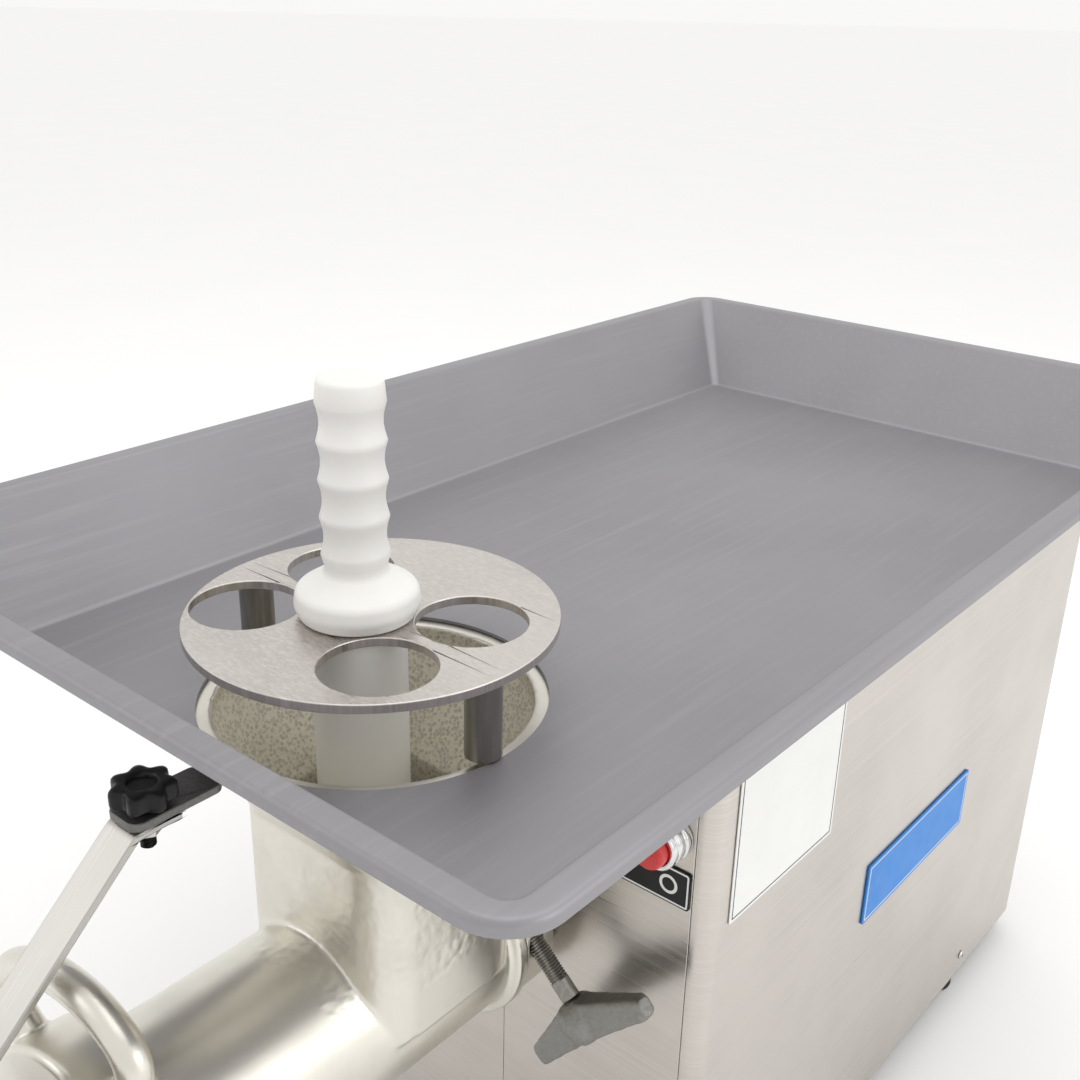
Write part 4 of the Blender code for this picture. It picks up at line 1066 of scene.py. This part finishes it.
def feet_and_screws():
    """Four legs with ridged rubber feet, and a cross-head screw by each on the housing's side."""
    for place in ("front_left", "front_right", "rear_left", "rear_right"):
        leg, pad = "leg_" + place, "pad_" + place
        spot = spot_of(leg)
        low, high = low_of(leg).z, high_of(leg).z
        profile = rounded([(0, high), (0.0140, high), (0.0140, low + 0.003), (0.0118, low + 0.002),
                           (0.0118, low), (0, low)], [0, 0.0005, 0.0005, 0.0005, 0.0005, 0], 3)
        column = turned("foot_column_" + place, profile, (spot.x, spot.y, 0), steps=64)
        crease(column)
        stand(column, "machined_steel", leg)
        top = high_of(pad).z
        profile = rounded(
            [(0, top), (0.0165, top), (0.0200, top - 0.0040), (0.0200, top - 0.0052), (0.0194, top - 0.0058),
             (0.0200, top - 0.0064), (0.0200, 0.0008), (0.0188, 0), (0, 0)],
            [0, 0.002, 0.001, 0.0002, 0.0002, 0.0002, 0.0006, 0.0006, 0], 4)
        rubber = turned("rubber_foot_" + place, profile, (spot.x, spot.y, 0), steps=64)
        stand(rubber, "black_rubber", pad)
        node = "side_screw_" + place
        side = 1 if place.endswith("right") else -1
        place_y, place_z = spot_of(node).yz
        turn = Matrix.Rotation(side * pi / 2, 4, "Y")
        dome = rounded([(0, 0.0022), (0.0030, 0.0018), (0.0042, 0), (0, 0)], [0, 0.003, 0.0003, 0], 5)
        screw = turned("pan_head_" + place, dome, (side * (BODY_HALF + GAP), place_y, place_z), turn, 48)
        slot_x, depth, long, narrow = side * (BODY_HALF + 0.0026), 0.00096, 0.0024, 0.000528
        for half_y, half_z in ((long, narrow), (narrow, long)):
            cut(screw, box("slot", (slot_x - depth, slot_x + depth), (place_y - half_y, place_y + half_y),
                           (place_z - half_z, place_z + half_z)))
        crease(screw, 35)
        stand(screw, "machined_steel", node)


# ---------------------------------------------------------------- controls and plates


def controls():
    """Domed push buttons in ridged bezels, and the marking strip below them."""
    for name, look in (("start", "green_plastic"), ("stop", "red_plastic")):
        spot = spot_of(name + "_bezel")
        at = (spot.x, BODY_FRONT, spot.z)
        ridge = [(0.0110, 0.0190), (0.0128, 0.0190), (0.0136, 0.0182), (0.0136, 0.0150), (0.0130, 0.0144),
                 (0.0130, 0.0128), (0.0136, 0.0122), (0.0136, 0.0090), (0.0130, 0.0084), (0.0130, 0.0060),
                 (0.0140, 0.0052), (0.0140, 0.0006), (0.0136, 0.0003), (0.0104, 0.0003), (0.0104, 0.0185)]
        bezel = turned(name + "_collar", rounded(ridge, 0.0003, 2, closed=True), at, FACING_FRONT, 72,
                       closed=True)
        stand(bezel, "chrome", name + "_bezel")
        cap = rounded([(0, 0.0272), (0.0088, 0.0264), (0.0100, 0.0245), (0.0100, 0.0060), (0.0050, 0.0060),
                       (0.0050, -0.0140), (0, -0.0140)], [0, 0.003, 0.0012, 0.0003, 0.0003, 0.0005, 0], 6)
        button = turned(name + "_cap", cap, at, FACING_FRONT, 72)
        crease(button)
        stand(button, look, name + "_button")
    marking_strip()


def inset_rectangle(x, y, inset, radius, arc):
    """A round-cornered rectangle this far inside the spans x and y."""
    return round_rectangle(x[0] + inset, x[1] - inset, y[0] + inset, y[1] - inset, radius, arc)


def marking_strip():
    """Dark strip with a white border and the usual ring and bar marks."""
    low, high = low_of("marking_strip"), high_of("marking_strip")
    across, up = (low.x, high.x), (low.z, high.z)
    strip = flat("mark_strip", [inset_rectangle(across, up, 0, 0.002, 6)], high.y - low.y,
                 (0, (low.y + high.y) / 2, 0), FACING_FRONT)
    stand(strip, "black_plastic", "marking_strip")
    film, mark_r, mark_line = 0.00012, 0.0062, 0.0019
    middle = (low.z + high.z) / 2
    start_x, stop_x = spot_of("start_bezel").x, spot_of("stop_bezel").x
    marks = {
        "strip_border": [inset_rectangle(across, up, 0.0009, 0.0016, 6),
                         inset_rectangle(across, up, 0.0020, 0.0010, 6)],
        "stop_ring_mark": [circle(radius, 48, stop_x, middle) for radius in (mark_r, mark_r - mark_line)],
        "start_bar_mark": [round_rectangle(start_x - 0.0011, start_x + 0.0011,
                                           middle - mark_r, middle + mark_r, 0.0005, 3)],
    }
    for name, outlines in marks.items():
        trim(flat(name, outlines, film, (0, low.y - film / 2, 0), FACING_FRONT),
             "label_white", "marking_strip")


def side_plates():
    """Blank plates: a pale one with a thin dark border, and a plain blue bar with a pale edge line."""
    for node, name, look, border in (("pale_side_plate", "pale_plate", "label_white", "dark_line"),
                                     ("blue_side_plate", "blue_plate", "label_blue", "label_white")):
        low, high = low_of(node), high_of(node)
        along, up = (low.y, high.y), (low.z, high.z)
        outline = inset_rectangle(along, up, 0, 0.0015, 5)
        plate = flat(name, [outline], high.x - low.x, ((low.x + high.x) / 2, 0, 0), FACING_RIGHT, 0.0002, 2)
        stand(plate, look, node)
        inset, line, film = 0.0022, 0.0008, 0.0001
        outer = inset_rectangle(along, up, inset, 0.001, 4)
        inner = inset_rectangle(along, up, inset + line, 0.0006, 4)
        trim(flat(name + "_line", [outer, inner], film, (high.x + film / 2, 0, 0), FACING_RIGHT),
             border, node)


# ---------------------------------------------------------------- everything else keeps its CAD mesh


def inner_works():
    """The drive inside the housing keeps its CAD solids, smooth-shaded and each in its slot's finish."""
    for name, node in NODES.items():
        if node.hide_render:
            continue
        node.data.materials.clear()
        node.data.materials.append(LOOK[SLOT_OF[name]])
        node.data.shade_smooth()
        crease(node, 35)


# ---------------------------------------------------------------- camera, floor and light


def camera():
    """The photograph's viewing angle."""
    lens_view = bpy.data.cameras.new("camera")
    viewer = added("camera", lens_view)
    lens_view.lens = 43.18
    lens_view.sensor_width = 36
    lens_view.clip_start, lens_view.clip_end = 0.01, 50
    spot = MACHINE + Vector((0.45739, -0.41466, PAN_Z + 0.34755))
    yaw, pitch, roll = radians(39.7009), radians(-22.787), radians(1.31)
    turn = (Matrix.Rotation(yaw, 3, "Z") @ Matrix.Rotation(pi / 2 + pitch, 3, "X")
            @ Matrix.Rotation(roll, 3, "Z"))
    viewer.matrix_world = Matrix.Translation(spot) @ turn.to_4x4()
    bpy.context.scene.camera = viewer


def area_light(name, spot, aim, width, height, power):
    lamp = bpy.data.lights.new(name, "AREA")
    lamp.shape = "RECTANGLE"
    lamp.size, lamp.size_y = width, height
    lamp.energy = power
    holder = added(name, lamp)
    holder.location = spot
    holder.rotation_euler = (Vector(aim) - Vector(spot)).to_track_quat("-Z", "Y").to_euler()


def studio():
    """Wide pale floor, even white surroundings and three soft lamps."""
    bm = bmesh.new()
    bmesh.ops.create_grid(bm, x_segments=1, y_segments=1, size=400)
    floor = new_piece("floor", mesh_of(bm, "floor"), (0, 0, -0.0005))
    made = Finish("pale_floor", (0.97, 0.97, 0.97), 0.8, 0.0)
    made.tint(made.pattern(3.0), (0.96, 0.96, 0.96))
    floor.data.materials.append(made.material)
    world = bpy.data.worlds.new("studio")
    bpy.context.scene.world = world
    world.use_nodes = True
    surroundings = world.node_tree.nodes["Background"]
    surroundings.inputs["Color"].default_value = (1.0, 0.995, 0.985, 1)
    surroundings.inputs["Strength"].default_value = 0.95
    bpy.context.scene.view_settings.view_transform = "Standard"
    area_light("overhead", (0.2, 0.3, 2.6), (0, 0, 0.4), 2.6, 2.6, 16)
    area_light("right", (2.6, 0.6, 1.2), (0, 0.1, 0.4), 1.8, 1.6, 14)
    area_light("front_left", (-1.8, -1.9, 1.6), (0, -0.1, 0.4), 1.4, 1.2, 5)


camera()
feed_pan()
guard()
stomper()
head()
auger_screw()
plate_and_knife()
ring()
bracket_bar()
strap()
shield()
hand_knob()
hub()
clamp()
housing()
front_panels()
rear_panel()
feet_and_screws()
controls()
side_plates()
inner_works()
studio()
